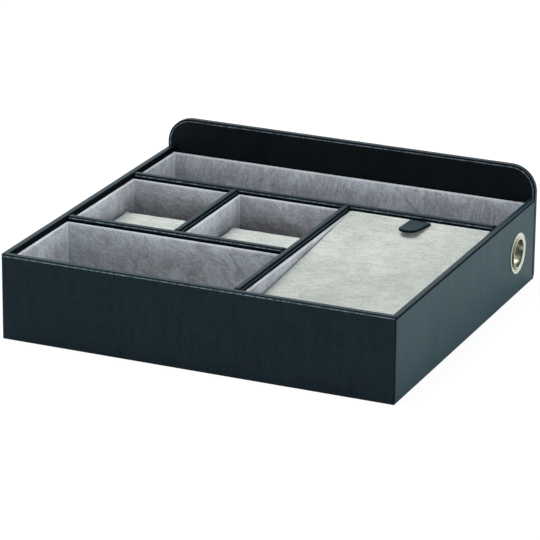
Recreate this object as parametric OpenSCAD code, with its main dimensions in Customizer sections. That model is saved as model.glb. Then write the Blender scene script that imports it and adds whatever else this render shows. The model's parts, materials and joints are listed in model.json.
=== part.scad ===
// Desk charging station: a leather covered board box with five suede lined
// compartments, two raised pocket floors, a sloping lift-out lid with a pull tab
// over the cable bay, and a cable grommet through the right wall.

/* [Body] */
// Width over the leather, left to right
body_w = 305; // [275:1:360]
// Depth over the leather, front to back
body_d = 285; // [265:1:340]
// Height of the front, side and dividing walls
wall_h = 65; // [62:1:80]
// Height of the back panel
back_h = 89; // [86:1:120]
// Radius of the top corners of the back panel
back_corner_r = 20; // [8:1:24]
// Radius of the bottom corners of the back panel
back_foot_r = 2; // [1:0.5:4]
// Radius of the two upright front corners
front_corner_r = 1.5; // [1:0.1:3]

/* [Walls] */
// Thickness of the board inside each wall and divider
board_t = 3.4; // [3.2:0.1:5]
// Thickness of the leather
leather_t = 0.8; // [0.6:0.1:1.2]
// Rounding of the leather along each rim
rim_r = 0.8; // [0.8:0.1:1.6]
// Flat strip between the rounded rim and the pressed crease
crease_gap = 0.3; // [0.2:0.1:0.6]
// Width of the pressed crease
crease_w = 0.8; // [0.4:0.1:1.2]
// Depth of the pressed crease
crease_depth = 0.35; // [0.2:0.05:0.5]

/* [Compartments] */
// Front tray, from the front wall to the cross divider
front_tray_d = 90; // [75:1:100]
// Rear tray, from the rear divider to the back panel
rear_tray_d = 68.7; // [60:0.1:80]
// Width of the bay under the lid
bay_w = 115; // [90:1:130]
// Width of the left pocket
left_pocket_w = 84.1; // [70:0.1:90]

/* [Base] */
// Thickness of the felt under the base
felt_t = 1; // [0.6:0.1:2]
// Distance of the felt from the outer faces
felt_inset = 0.5; // [0.5:0.1:4]
// Thickness of the base board
base_t = 3; // [2:0.1:5]

/* [Liners] */
// Thickness of the suede covered card
liner_t = 1.7; // [1.2:0.1:2.5]
// Distance of the card edge below the rim
liner_drop = 4.2; // [3:0.1:6]
// Rounding of the suede along the top edge of a card
liner_round = 0.55; // [0.2:0.05:0.6]

/* [Pocket floors] */
// Depth of a pocket, from the rim to the edge of its floor
pocket_depth = 24.5; // [20:0.5:30]
// Thickness of the board of a pocket floor
floor_board_t = 2; // [1.5:0.1:3]
// Thickness of the suede pad at its edge
pad_t = 3; // [2:0.1:4]
// Height of the pad's lower, upright side
pad_side = 1.4; // [0.8:0.1:1.8]
// Height of the crown in the middle of the pad
pad_crown = 1.2; // [0.6:0.1:2]
// How far the pad's sides draw in between its corners
pad_draw = 0.5; // [0.2:0.1:1]
// How far the pad's corners are rounded off
pad_corner = 1.6; // [0.8:0.1:2.5]
// Running gap round a pocket floor
floor_gap = 0.5; // [0.4:0.1:1]
// Cable slot between a pocket floor and the liner behind it
cable_slot = 15.6; // [10:0.2:20]
// Width of the battens under a pocket floor
batten_w = 5; // [4:0.5:8]
// Height of the battens under a pocket floor
batten_h = 6; // [4:0.5:8]

/* [Lid] */
// Top of the lid below the rim, at its back edge
lid_back_drop = 3; // [2.5:0.1:6]
// Top of the lid below the rim, at its front edge
lid_front_drop = 17.6; // [10:0.2:24]
// Thickness of the lid board
lid_board_t = 2.5; // [2:0.1:4]
// Thickness of the suede round the lid board
lid_suede_t = 0.7; // [0.5:0.1:1]
// Suede turned under the edges of the lid
lid_turn_in = 12; // [8:1:20]
// Running gap round the lid
lid_gap = 0.5; // [0.4:0.1:1]
// Width of the sloping rails that carry the lid
rail_w = 5; // [4:0.5:8]
// Height of the sloping rails
rail_h = 8; // [6:0.5:10]

/* [Pull tab] */
// Width of the leather tab at its back edge
tab_w = 17.4; // [15:0.1:24]
// Width of the tab where its round end starts
tab_end_w = 14.2; // [10:0.1:15]
// Length of the free flap
tab_l = 24.4; // [18:0.1:34]
// Thickness of the two layers of leather
tab_t = 1.9; // [1.6:0.1:3]
// How far the end of the flap curls up
tab_curl = 1.6; // [0.4:0.1:3]
// Length of the sewn root
tab_root_l = 4.6; // [4:0.1:10]
// Gap between the root and the flap
tab_fold_gap = 0.3; // [0.2:0.1:0.5]
// Gap between the flap and the lid at the fold
tab_lift = 0.3; // [0.2:0.1:0.6]
// Distance of the root from the lid's back edge
tab_inset = 4; // [0.6:0.1:5]
// How far the root stands to the right of the lid's middle
tab_offset = 2; // [-4:0.1:4]
// Angle by which the tab points to the left
tab_turn = 3.5; // [0:0.5:3.5]

/* [Grommet] */
// Bore of the cable grommet
grommet_bore = 21; // [18:0.5:24]
// Outer diameter of the grommet flange
grommet_flange = 32; // [31:0.5:36]
// Wall of the grommet barrel
grommet_wall = 1; // [0.8:0.1:1.2]
// Height of the grommet centre above the desk
grommet_z = 32.5; // [28:0.5:36]
// Distance of the grommet centre from the back face
grommet_back = 39.4; // [30:0.1:44]
// Thickness of the flat part of the flange
flange_t = 0.4; // [0.3:0.1:1.2]
// Radius of the bead round the flange's outer edge
lip_r = 0.4; // [0.3:0.1:1]
// Radius of the rolled collar round the bore
collar_r = 0.9; // [0.6:0.1:1.3]
// How far the rolled collar stands out of the wall
grommet_proud = 1.3; // [1:0.1:3]
// Thickness of the washer behind the wall
washer_t = 1; // [0.8:0.1:1.5]
// How far the washer reaches beyond the barrel
washer_band = 3.5; // [2.5:0.1:4]
// Radial clearance of the barrel in the wall and the washer
barrel_gap = 0.15; // [0.1:0.05:0.3]
// How far the barrel stands past the washer
barrel_end = 0.6; // [0.4:0.1:1]

/* [Cable notches] */
// Width of the cable notches in the foot of the rear divider
notch_w = 36; // [24:1:44]
// Height of the cable notches
notch_h = 18; // [12:1:22]
// Radius of the upper corners of the cable notches
notch_r = 6; // [3:0.5:8]

/* [Hidden] */

// Overrun of every cut past the face that it opens
over = 1;
// Sides of the round pieces
round_fn = 96;
// Steps of a small rounded edge
edge_steps = 6;
// Steps of the pull tab's curl
curl_steps = 8;
// Cells of a pad along each side
pad_cells = 14;
// How square the pad's shoulder is, and how tight its corners are
shoulder_power = 8;
corner_power = 6;

leather = [0.11, 0.15, 0.18];
suede_grey = [0.56, 0.55, 0.58];
suede_pale = [0.76, 0.78, 0.75];
fibreboard = [0.62, 0.48, 0.33];
felt_black = [0.07, 0.07, 0.08];
nickel = [0.78, 0.78, 0.74];

// Walls
wall_t = board_t + 2 * leather_t;
board_in = leather_t + board_t;
crease_drop = rim_r + crease_gap + crease_w / 2;

// Plan lines of the dividers
cross_y0 = wall_t + front_tray_d;
cross_y1 = cross_y0 + wall_t;
rear_y1 = body_d - wall_t - rear_tray_d;
rear_y0 = rear_y1 - wall_t;
bay_x1 = body_w - wall_t - bay_w;
bay_x0 = bay_x1 - wall_t;
pocket_x0 = wall_t + left_pocket_w;
pocket_x1 = pocket_x0 + wall_t;
back_y = body_d - wall_t;
right_x = body_w - wall_t;

// Levels
base_top = felt_t + base_t;
liner_top = wall_h - liner_drop;
floor_edge = wall_h - pocket_depth;
pad_z = floor_edge - pad_t;
floor_board_z = pad_z - floor_board_t;

// Each compartment as [left, right, front, back] between leather faces
front_tray = [wall_t, bay_x0, wall_t, cross_y0];
left_pocket = [wall_t, pocket_x0, cross_y1, rear_y0];
right_pocket = [pocket_x1, bay_x0, cross_y1, rear_y0];
rear_tray = [wall_t, right_x, rear_y1, back_y];
bay = [bay_x1, right_x, wall_t, rear_y0];

// Lid
lid_x0 = bay[0] + liner_t + lid_gap;
lid_x1 = bay[1] - liner_t - lid_gap;
lid_y0 = bay[2] + liner_t + lid_gap;
lid_y1 = bay[3] - liner_t - lid_gap;
lid_back_z = wall_h - lid_back_drop;
lid_front_z = wall_h - lid_front_drop;
lid_slope = (lid_back_z - lid_front_z) / (lid_y1 - lid_y0);
lid_t = lid_board_t + 2 * lid_suede_t;

// Pull tab
tab_x = (lid_x0 + lid_x1) / 2 + tab_offset;
tab_back_y = lid_y1 - tab_inset;
tab_z = lid_height(tab_back_y - tab_root_l) + tab_lift;
flap_y = -tab_root_l - tab_fold_gap;

// Grommet
bore_r = grommet_bore / 2;
barrel_r = bore_r + grommet_wall;
flange_r = grommet_flange / 2;
grommet_y = body_d - grommet_back;
wall_stack = wall_t + liner_t;
barrel_l = wall_stack + washer_t + barrel_end;

// Centre of each cable notch along the rear divider
notch_places = [mid(left_pocket), mid(right_pocket), mid(bay)];

function mid(room) = (room[0] + room[1]) / 2;
function lid_height(y) = lid_front_z + lid_slope * (y - lid_y0);
function arc(x, y, r, from, to) =
    [for (i = [0 : edge_steps]) let (a = from + (to - from) * i / edge_steps)
        [x + r * cos(a), y + r * sin(a)]];

// The whole piece stands on the desk with the middle of its outer box at the origin
module placed() {
    translate([-(body_w + grommet_proud) / 2, -body_d / 2, 0]) children();
}

// Runs a flat outline, drawn as across and up, along X or along Y
module run_x(from, to) {
    translate([from, 0, 0]) rotate([90, 0, 90]) linear_extrude(to - from) children();
}
module run_y(from, to) {
    translate([0, to, 0]) rotate([90, 0, 0]) linear_extrude(to - from) children();
}

// Section of a leather covered wall, with its rounded rim and pressed creases
module wall_outline(foot) {
    crease_z = wall_h - crease_drop;
    polygon(concat(
        [[0, foot], [0, crease_z - crease_w / 2], [crease_depth, crease_z],
            [0, crease_z + crease_w / 2]],
        arc(rim_r, wall_h - rim_r, rim_r, 180, 90),
        arc(wall_t - rim_r, wall_h - rim_r, rim_r, 90, 0),
        [[wall_t, crease_z + crease_w / 2], [wall_t - crease_depth, crease_z],
            [wall_t, crease_z - crease_w / 2], [wall_t, foot]]));
}
module board_outline(foot) {
    translate([leather_t, foot]) square([board_t, wall_h - leather_t - foot]);
}
module cover_outline(foot) {
    difference() {
        wall_outline(foot);
        translate([leather_t, foot - over]) square([board_t, wall_h - leather_t - foot + over]);
        translate([board_in, foot - over]) square([leather_t + over, base_top - foot + over]);
    }
}

// Plan of the whole box with its two rounded front corners
module footprint() {
    translate([0, front_corner_r]) square([body_w, body_d - front_corner_r]);
    translate([front_corner_r, 0]) square([body_w - 2 * front_corner_r, front_corner_r + over]);
    for (x = [front_corner_r, body_w - front_corner_r])
        translate([x, front_corner_r]) circle(front_corner_r, $fn = round_fn);
}
// Plan of each outer wall, mitred at the front corners
module front_plan() {
    polygon([[0, 0], [body_w, 0], [right_x, wall_t], [wall_t, wall_t]]);
}
module side_plan() {
    polygon([[0, 0], [wall_t, wall_t], [wall_t, back_y], [0, back_y]]);
}
module mitred() {
    intersection() {
        children(0);
        linear_extrude(wall_h + over) intersection() {
            footprint();
            children(1);
        }
    }
}
module right_side() {
    translate([body_w, 0]) mirror([1, 0]) children();
}
module right_hand() {
    translate([body_w, 0, 0]) mirror([1, 0, 0]) children();
}

// Round hole through the right wall, from outside to past the liner
module grommet_hole(r) {
    translate([body_w - wall_stack - over, grommet_y, grommet_z]) rotate([0, 90, 0])
        cylinder(r = r, h = wall_stack + 2 * over, $fn = round_fn);
}

// Cable notches cut through the foot of the rear divider and its liners
module notch_outline() {
    square([notch_w, notch_h - notch_r]);
    translate([notch_r, 0]) square([notch_w - 2 * notch_r, notch_h]);
    for (x = [notch_r, notch_w - notch_r])
        translate([x, notch_h - notch_r]) circle(notch_r, $fn = round_fn);
}
module notches(from, to) {
    for (x = notch_places)
        run_y(from - over, to + over)
            translate([x - notch_w / 2, base_top]) notch_outline();
    for (x = notch_places)
        run_y(from - over, to + over)
            translate([x - notch_w / 2, base_top - over]) square([notch_w, 2 * over]);
}

// Board and cover of a wall or divider, set where its section starts
module front_section(cover) {
    run_x(0, body_w) if (cover) cover_outline(felt_t); else board_outline(felt_t);
}
module side_section(cover) {
    run_y(0, back_y) if (cover) cover_outline(felt_t); else board_outline(felt_t);
}
module divider_section(cover) {
    if (cover) cover_outline(base_top); else board_outline(base_top);
}
module divider_x(y, from, to, cover) {
    translate([0, y, 0]) run_x(from, to) divider_section(cover);
}
module divider_y(x, from, to, cover) {
    translate([x, 0, 0]) run_y(from, to) divider_section(cover);
}

module front_board() {
    color(fibreboard) placed() mitred() {
        front_section(false);
        front_plan();
    }
}
module left_board() {
    color(fibreboard) placed() mitred() {
        side_section(false);
        side_plan();
    }
}
module right_board() {
    color(fibreboard) placed() difference() {
        mitred() {
            right_hand() side_section(false);
            right_side() side_plan();
        }
        grommet_hole(barrel_r + barrel_gap);
    }
}
module front_cover() {
    color(leather) placed() mitred() {
        front_section(true);
        front_plan();
    }
}
module left_cover() {
    color(leather) placed() mitred() {
        side_section(true);
        side_plan();
    }
}
module right_cover() {
    color(leather) placed() difference() {
        mitred() {
            right_hand() side_section(true);
            right_side() side_plan();
        }
        grommet_hole(barrel_r + barrel_gap);
    }
}

// Outline of the back panel, drawn in by the given distance
module back_outline(inset) {
    top_r = back_corner_r - inset;
    foot_r = max(back_foot_r - inset, leather_t / 2);
    w = body_w - 2 * inset;
    h = back_h - felt_t - 2 * inset;
    translate([inset, felt_t + inset]) {
        translate([0, foot_r]) square([w, h - foot_r - top_r]);
        translate([top_r, h / 2]) square([w - 2 * top_r, h / 2]);
        translate([foot_r, 0]) square([w - 2 * foot_r, h / 2]);
        for (x = [top_r, w - top_r])
            translate([x, h - top_r]) circle(top_r, $fn = round_fn);
        for (x = [foot_r, w - foot_r])
            translate([x, foot_r]) circle(foot_r, $fn = round_fn);
    }
}
// Section of the back panel's edge: distance outwards, then across its thickness
module back_edge(length) {
    crease_x = length - crease_drop;
    polygon(concat(
        [[0, 0], [crease_x - crease_w / 2, 0], [crease_x, crease_depth],
            [crease_x + crease_w / 2, 0]],
        arc(length - rim_r, rim_r, rim_r, -90, 0),
        arc(length - rim_r, wall_t - rim_r, rim_r, 0, 90),
        [[crease_x + crease_w / 2, wall_t], [crease_x, wall_t - crease_depth],
            [crease_x - crease_w / 2, wall_t], [0, wall_t]]));
}
module back_corner() {
    translate([back_corner_r, 0, back_h - back_corner_r]) rotate([-90, 0, 0])
        rotate(180) rotate_extrude(angle = 90, $fn = round_fn) back_edge(back_corner_r);
}
module back_side() {
    side_z = felt_t + back_foot_r;
    translate([back_corner_r, 0, side_z]) mirror([1, 0, 0])
        linear_extrude(back_h - back_corner_r - side_z) back_edge(back_corner_r);
}
module back_shell() {
    middle_w = body_w - 2 * back_corner_r;
    back_corner();
    translate([body_w, 0, 0]) mirror([1, 0, 0]) back_corner();
    back_side();
    translate([body_w, 0, 0]) mirror([1, 0, 0]) back_side();
    translate([back_corner_r, 0, 0]) rotate([90, 0, 90]) linear_extrude(middle_w)
        translate([0, back_h - back_corner_r]) rotate(90) mirror([0, 1])
            back_edge(back_corner_r);
    translate([back_corner_r, 0, felt_t + back_foot_r])
        cube([middle_w, wall_t, back_h - back_corner_r - felt_t - back_foot_r]);
    intersection() {
        run_y(0, wall_t) back_outline(0);
        translate([0, 0, felt_t]) cube([body_w, wall_t, back_foot_r]);
    }
}
module back_cover() {
    color(leather) placed() translate([0, back_y, 0]) difference() {
        back_shell();
        run_y(leather_t, board_in) back_outline(leather_t);
    }
}
module back_board() {
    color(fibreboard) placed() translate([0, back_y, 0])
        run_y(leather_t, board_in) back_outline(leather_t);
}

module base_board() {
    color(fibreboard) placed() translate([board_in, board_in, felt_t])
        cube([body_w - 2 * board_in, back_y - board_in, base_t]);
}
module base_felt() {
    color(felt_black) placed() translate([felt_inset, felt_inset, 0])
        cube([body_w - 2 * felt_inset, body_d - 2 * felt_inset, felt_t]);
}

module rear_divider(cover) {
    difference() {
        divider_x(rear_y0, wall_t, right_x, cover);
        notches(rear_y0, rear_y1);
    }
}
module rear_divider_board() { color(fibreboard) placed() rear_divider(false); }
module rear_divider_cover() { color(leather) placed() rear_divider(true); }
module bay_divider_board() {
    color(fibreboard) placed() divider_y(bay_x0, wall_t, rear_y0, false);
}
module bay_divider_cover() {
    color(leather) placed() divider_y(bay_x0, wall_t, rear_y0, true);
}
module cross_divider_board() {
    color(fibreboard) placed() divider_x(cross_y0, wall_t, bay_x0, false);
}
module cross_divider_cover() {
    color(leather) placed() divider_x(cross_y0, wall_t, bay_x0, true);
}
module pocket_divider_board() {
    color(fibreboard) placed() divider_y(pocket_x0, cross_y1, rear_y0, false);
}
module pocket_divider_cover() {
    color(leather) placed() divider_y(pocket_x0, cross_y1, rear_y0, true);
}

// Suede covered cards of a compartment
module card_outline() {
    polygon(concat([[0, base_top]],
        arc(liner_round, liner_top - liner_round, liner_round, 180, 90),
        arc(liner_t - liner_round, liner_top - liner_round, liner_round, 90, 0),
        [[liner_t, base_top]]));
}
module liner_front(room) {
    translate([0, room[2], 0]) run_x(room[0], room[1]) card_outline();
}
module liner_back(room) {
    translate([0, room[3] - liner_t, 0]) run_x(room[0], room[1]) card_outline();
}
module liner_left(room) {
    translate([room[0], 0, 0]) run_y(room[2] + liner_t, room[3] - liner_t) card_outline();
}
module liner_right(room) {
    translate([room[1] - liner_t, 0, 0]) run_y(room[2] + liner_t, room[3] - liner_t)
        card_outline();
}
module floor_card(room) {
    translate([room[0] + liner_t, room[2] + liner_t, base_top])
        cube([room[1] - room[0] - 2 * liner_t, room[3] - room[2] - 2 * liner_t, liner_t]);
}
module notched_liner_back(room) {
    difference() {
        liner_back(room);
        notches(room[3] - liner_t, room[3]);
    }
}

module front_tray_liner_front() { color(suede_grey) placed() liner_front(front_tray); }
module front_tray_liner_back() { color(suede_grey) placed() liner_back(front_tray); }
module front_tray_liner_left() { color(suede_grey) placed() liner_left(front_tray); }
module front_tray_liner_right() { color(suede_grey) placed() liner_right(front_tray); }
module front_tray_floor() { color(suede_pale) placed() floor_card(front_tray); }

module left_pocket_liner_front() { color(suede_grey) placed() liner_front(left_pocket); }
module left_pocket_liner_back() { color(suede_grey) placed() notched_liner_back(left_pocket); }
module left_pocket_liner_left() { color(suede_grey) placed() liner_left(left_pocket); }
module left_pocket_liner_right() { color(suede_grey) placed() liner_right(left_pocket); }

module right_pocket_liner_front() { color(suede_grey) placed() liner_front(right_pocket); }
module right_pocket_liner_back() { color(suede_grey) placed() notched_liner_back(right_pocket); }
module right_pocket_liner_left() { color(suede_grey) placed() liner_left(right_pocket); }
module right_pocket_liner_right() { color(suede_grey) placed() liner_right(right_pocket); }

module rear_tray_liner_front() {
    color(suede_grey) placed() difference() {
        liner_front(rear_tray);
        notches(rear_tray[2], rear_tray[2] + liner_t);
    }
}
module rear_tray_liner_back() { color(suede_grey) placed() liner_back(rear_tray); }
module rear_tray_liner_left() { color(suede_grey) placed() liner_left(rear_tray); }
module rear_tray_liner_right() {
    color(suede_grey) placed() difference() {
        liner_right(rear_tray);
        grommet_hole(barrel_r + barrel_gap);
    }
}
module rear_tray_floor() { color(suede_pale) placed() floor_card(rear_tray); }

module bay_liner_front() { color(suede_grey) placed() liner_front(bay); }
module bay_liner_back() { color(suede_grey) placed() notched_liner_back(bay); }
module bay_liner_left() { color(suede_grey) placed() liner_left(bay); }
module bay_liner_right() { color(suede_grey) placed() liner_right(bay); }
module bay_floor() { color(suede_pale) placed() floor_card(bay); }

// Raised floor of a pocket: battens on the liners, a board and a suede pad
function floor_plan(room) = [room[0] + liner_t + floor_gap, room[1] - liner_t - floor_gap,
    room[2] + liner_t + floor_gap, room[3] - liner_t - cable_slot];

module battens(room) {
    plan = floor_plan(room);
    for (x = [room[0] + liner_t, room[1] - liner_t - batten_w])
        translate([x, room[2] + liner_t, floor_board_z - batten_h])
            cube([batten_w, plan[3] - room[2] - liner_t, batten_h]);
}
module floor_board(room) {
    plan = floor_plan(room);
    translate([plan[0], plan[2], floor_board_z])
        cube([plan[1] - plan[0], plan[3] - plan[2], floor_board_t]);
}

// The pad's top is a grid, closer at its edges, over shares of its half sides
function pad_share(i) = sin(90 * (2 * i / pad_cells - 1));
function pad_top(u, v) = pad_side
    + (pad_t - pad_side) * sqrt(1 - pow(abs(u), shoulder_power))
        * sqrt(1 - pow(abs(v), shoulder_power))
    + pad_crown * (1 - u * u) * (1 - v * v);
function pad_plan(half, u, v) = u * half - sign(u) * pad_corner * pow(abs(u * v), corner_power)
    - u * pad_draw * (1 - v * v);
function ring_cell(k) = k < pad_cells ? [k, 0]
    : k < 2 * pad_cells ? [pad_cells, k - pad_cells]
    : k < 3 * pad_cells ? [3 * pad_cells - k, pad_cells]
    : [0, 4 * pad_cells - k];

module pad(room) {
    plan = floor_plan(room);
    half = [(plan[1] - plan[0]) / 2, (plan[3] - plan[2]) / 2];
    side = pad_cells + 1;
    rim_count = 4 * pad_cells;
    top = [for (j = [0 : pad_cells]) for (i = [0 : pad_cells])
        let (u = pad_share(i), v = pad_share(j))
            [pad_plan(half[0], u, v), pad_plan(half[1], v, u), pad_top(u, v)]];
    rim = [for (k = [0 : rim_count - 1]) let (cell = ring_cell(k),
        u = pad_share(cell[0]), v = pad_share(cell[1]))
            [pad_plan(half[0], u, v), pad_plan(half[1], v, u), 0]];
    rim_start = side * side;
    hub = rim_start + rim_count;
    upper = [for (j = [0 : pad_cells - 1]) for (i = [0 : pad_cells - 1]) for (second = [0, 1])
        let (a = j * side + i, b = a + 1, c = a + side + 1, d = a + side)
            second == 0 ? [a, c, b] : [a, d, c]];
    sides = [for (k = [0 : rim_count - 1]) for (second = [0, 1])
        let (n = (k + 1) % rim_count, cell = ring_cell(k), next = ring_cell(n),
            a = cell[1] * side + cell[0], b = next[1] * side + next[0])
            second == 0 ? [a, b, rim_start + n] : [a, rim_start + n, rim_start + k]];
    lower = [for (k = [0 : rim_count - 1]) [rim_start + k, rim_start + (k + 1) % rim_count, hub]];
    translate([plan[0] + half[0], plan[2] + half[1], pad_z])
        polyhedron(concat(top, rim, [[0, 0, 0]]), concat(upper, sides, lower));
}

module left_pocket_battens() { color(fibreboard) placed() battens(left_pocket); }
module left_pocket_floor_board() { color(fibreboard) placed() floor_board(left_pocket); }
module left_pocket_pad() { color(suede_pale) placed() pad(left_pocket); }
module right_pocket_battens() { color(fibreboard) placed() battens(right_pocket); }
module right_pocket_floor_board() { color(fibreboard) placed() floor_board(right_pocket); }
module right_pocket_pad() { color(suede_pale) placed() pad(right_pocket); }

// Side view of a sloping layer: depth below the lid's top, thickness, ends
module slope_outline(drop, thick, from, to) {
    polygon([[from, lid_height(from) - drop], [to, lid_height(to) - drop],
        [to, lid_height(to) - drop - thick], [from, lid_height(from) - drop - thick]]);
}
module lid_rails() {
    color(fibreboard) placed()
        for (x = [bay[0] + liner_t, bay[1] - liner_t - rail_w])
            run_x(x, x + rail_w)
                slope_outline(lid_t, rail_h, bay[2] + liner_t, bay[3] - liner_t);
}
module lid_core() {
    run_x(lid_x0 + lid_suede_t, lid_x1 - lid_suede_t)
        slope_outline(lid_suede_t, lid_board_t, lid_y0 + lid_suede_t, lid_y1 - lid_suede_t);
}
module lid_board() { color(fibreboard) placed() lid_core(); }
module lid_suede() {
    color(suede_pale) placed() difference() {
        run_x(lid_x0, lid_x1) slope_outline(0, lid_t, lid_y0, lid_y1);
        lid_core();
        run_x(lid_x0 + lid_turn_in, lid_x1 - lid_turn_in)
            slope_outline(lid_suede_t + lid_board_t / 2, lid_t, lid_y0 + lid_turn_in,
                lid_y1 - lid_turn_in);
    }
}

// The tab is drawn with its back edge's middle at the origin, and points forwards
module on_tab() {
    translate([tab_x, tab_back_y, 0]) rotate(-tab_turn) children();
}
module tab_outline() {
    end_r = tab_end_w / 2;
    end_y = flap_y - tab_l + end_r;
    polygon([[-tab_w / 2, 0], [-end_r, end_y], [end_r, end_y], [tab_w / 2, 0]]);
    translate([0, end_y]) circle(end_r, $fn = round_fn);
}
module pull_tab_root() {
    color(leather) placed() difference() {
        on_tab() intersection() {
            translate([0, 0, tab_z - lid_t]) linear_extrude(lid_t + tab_t) tab_outline();
            translate([-tab_w / 2, -tab_root_l, 0]) cube([tab_w, tab_root_l, tab_z + tab_t]);
        }
        run_x(lid_x0, lid_x1) slope_outline(0, 2 * lid_t, lid_y0, lid_y1);
    }
}
// Side view of the flap, which starts level and curls up towards its end
function flap_points(bottom) = [for (i = [0 : curl_steps]) let (share = i / curl_steps)
    [flap_y - tab_l * share, bottom + tab_curl * share * share]];
module flap_side() {
    top = flap_points(tab_z + tab_t);
    polygon(concat(flap_points(tab_z), [for (i = [curl_steps : -1 : 0]) top[i]]));
}
module pull_tab_flap() {
    color(leather) placed() on_tab() intersection() {
        run_x(-tab_w, tab_w) flap_side();
        linear_extrude(back_h) tab_outline();
    }
}

// Cable grommet, drawn as distance from its axis, then distance out of the wall
module ring_outline() {
    collar_x = bore_r + collar_r;
    collar_z = grommet_proud - collar_r;
    lip_x = flange_r - lip_r;
    polygon(concat([[bore_r, -barrel_l]],
        arc(collar_x, collar_z, collar_r, 180, 0),
        [[collar_x + collar_r, flange_t]],
        arc(lip_x, flange_t, lip_r, 150, 0),
        [[flange_r, 0], [barrel_r, 0], [barrel_r, -barrel_l]]));
}
module on_grommet_axis() {
    translate([body_w, grommet_y, grommet_z]) rotate([0, 90, 0]) children();
}
module grommet_ring() {
    color(nickel) placed() on_grommet_axis()
        rotate_extrude($fn = round_fn) ring_outline();
}
module grommet_washer() {
    hole_r = barrel_r + barrel_gap;
    color(nickel) placed() on_grommet_axis() translate([0, 0, -wall_stack - washer_t])
        difference() {
            cylinder(r = hole_r + washer_band, h = washer_t, $fn = round_fn);
            translate([0, 0, -over]) cylinder(r = hole_r, h = washer_t + 2 * over,
                $fn = round_fn);
        }
}

front_board();
left_board();
right_board();
back_board();
base_board();
rear_divider_board();
bay_divider_board();
cross_divider_board();
pocket_divider_board();
front_cover();
left_cover();
right_cover();
back_cover();
base_felt();
rear_divider_cover();
bay_divider_cover();
cross_divider_cover();
pocket_divider_cover();
front_tray_liner_front();
front_tray_liner_back();
front_tray_liner_left();
front_tray_liner_right();
front_tray_floor();
left_pocket_liner_front();
left_pocket_liner_back();
left_pocket_liner_left();
left_pocket_liner_right();
left_pocket_battens();
left_pocket_floor_board();
left_pocket_pad();
right_pocket_liner_front();
right_pocket_liner_back();
right_pocket_liner_left();
right_pocket_liner_right();
right_pocket_battens();
right_pocket_floor_board();
right_pocket_pad();
rear_tray_liner_front();
rear_tray_liner_back();
rear_tray_liner_left();
rear_tray_liner_right();
rear_tray_floor();
bay_liner_front();
bay_liner_back();
bay_liner_left();
bay_liner_right();
bay_floor();
lid_rails();
lid_board();
lid_suede();
pull_tab_root();
pull_tab_flap();
grommet_ring();
grommet_washer();
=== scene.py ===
import json
from math import cos, exp, pi, radians, sin, sqrt

import bmesh
import bpy
from mathutils import Matrix, Vector, noise


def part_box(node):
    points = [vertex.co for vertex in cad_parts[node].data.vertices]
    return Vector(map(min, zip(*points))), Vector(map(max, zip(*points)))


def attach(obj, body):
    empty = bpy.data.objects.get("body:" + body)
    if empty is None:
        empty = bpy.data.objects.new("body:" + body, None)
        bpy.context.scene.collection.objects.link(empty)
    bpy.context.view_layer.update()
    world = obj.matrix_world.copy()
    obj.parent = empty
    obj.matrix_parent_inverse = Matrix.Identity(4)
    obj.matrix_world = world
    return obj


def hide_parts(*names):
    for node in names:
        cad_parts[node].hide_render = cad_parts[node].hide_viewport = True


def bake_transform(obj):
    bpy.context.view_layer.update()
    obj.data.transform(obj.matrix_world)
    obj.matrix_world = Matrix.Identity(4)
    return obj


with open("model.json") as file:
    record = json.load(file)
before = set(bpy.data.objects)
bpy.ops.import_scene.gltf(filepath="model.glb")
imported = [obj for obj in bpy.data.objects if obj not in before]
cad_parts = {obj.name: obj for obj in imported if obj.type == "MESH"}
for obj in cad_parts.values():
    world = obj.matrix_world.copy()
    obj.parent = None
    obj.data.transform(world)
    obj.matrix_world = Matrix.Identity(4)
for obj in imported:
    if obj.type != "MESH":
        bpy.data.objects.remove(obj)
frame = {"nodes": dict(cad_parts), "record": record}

mm = 0.001
scene = bpy.context.scene
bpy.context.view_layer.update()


def boxOf(node):
    low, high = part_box(node)
    return Vector(low) / mm, Vector(high) / mm


def gauss(x, middle, width):
    return exp(-((x - middle) / width) ** 2)


def smoothStep(x, start, end):
    share = min(max((x - start) / (end - start), 0), 1)
    return share * share * (3 - 2 * share)


def steps(start, end, size):        # evenly spaced values, both ends included
    count = max(1, round(abs(end - start) / size))
    return [start + (end - start) * i / count for i in range(count + 1)]


# Mesh helpers

def newPiece(name, points, faces):
    mesh = bpy.data.meshes.new(name)
    mesh.from_pydata([Vector(p) * mm for p in points], [], faces)
    piece = bpy.data.objects.new(name, mesh)
    scene.collection.objects.link(piece)
    return piece


def faceOutwards(piece, inward=False):
    shape = bmesh.new()
    shape.from_mesh(piece.data)
    bmesh.ops.recalc_face_normals(shape, faces=shape.faces)
    if inward:
        bmesh.ops.reverse_faces(shape, faces=shape.faces)
    shape.to_mesh(piece.data)
    shape.free()


def smooth(piece, angle=32):
    piece.data.polygons.foreach_set("use_smooth", [True] * len(piece.data.polygons))
    piece.data.set_sharp_from_angle(angle=radians(angle))


def setMask(piece, name, values):        # a value on each point, for the materials
    layer = piece.data.attributes.new(name, "FLOAT", "POINT")
    layer.data.foreach_set("value", values)


def loopFaces(loopCount, size, closedEnds=True):
    faces = []
    for i in range(loopCount - 1):
        a, b = i * size, (i + 1) * size
        for k in range(size):
            n = (k + 1) % size
            faces.append((a + k, a + n, b + n, b + k))
    if closedEnds:
        faces.append(tuple(range(size)))
        faces.append(tuple(range((loopCount - 1) * size, loopCount * size)))
    return faces


def cut(piece, cutter):        # takes the cutter's space out of the piece
    change = piece.modifiers.new("cut", "BOOLEAN")
    change.operation = "DIFFERENCE"
    change.solver = "EXACT"
    change.object = cutter
    settle(piece)
    bpy.data.objects.remove(cutter)


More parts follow.
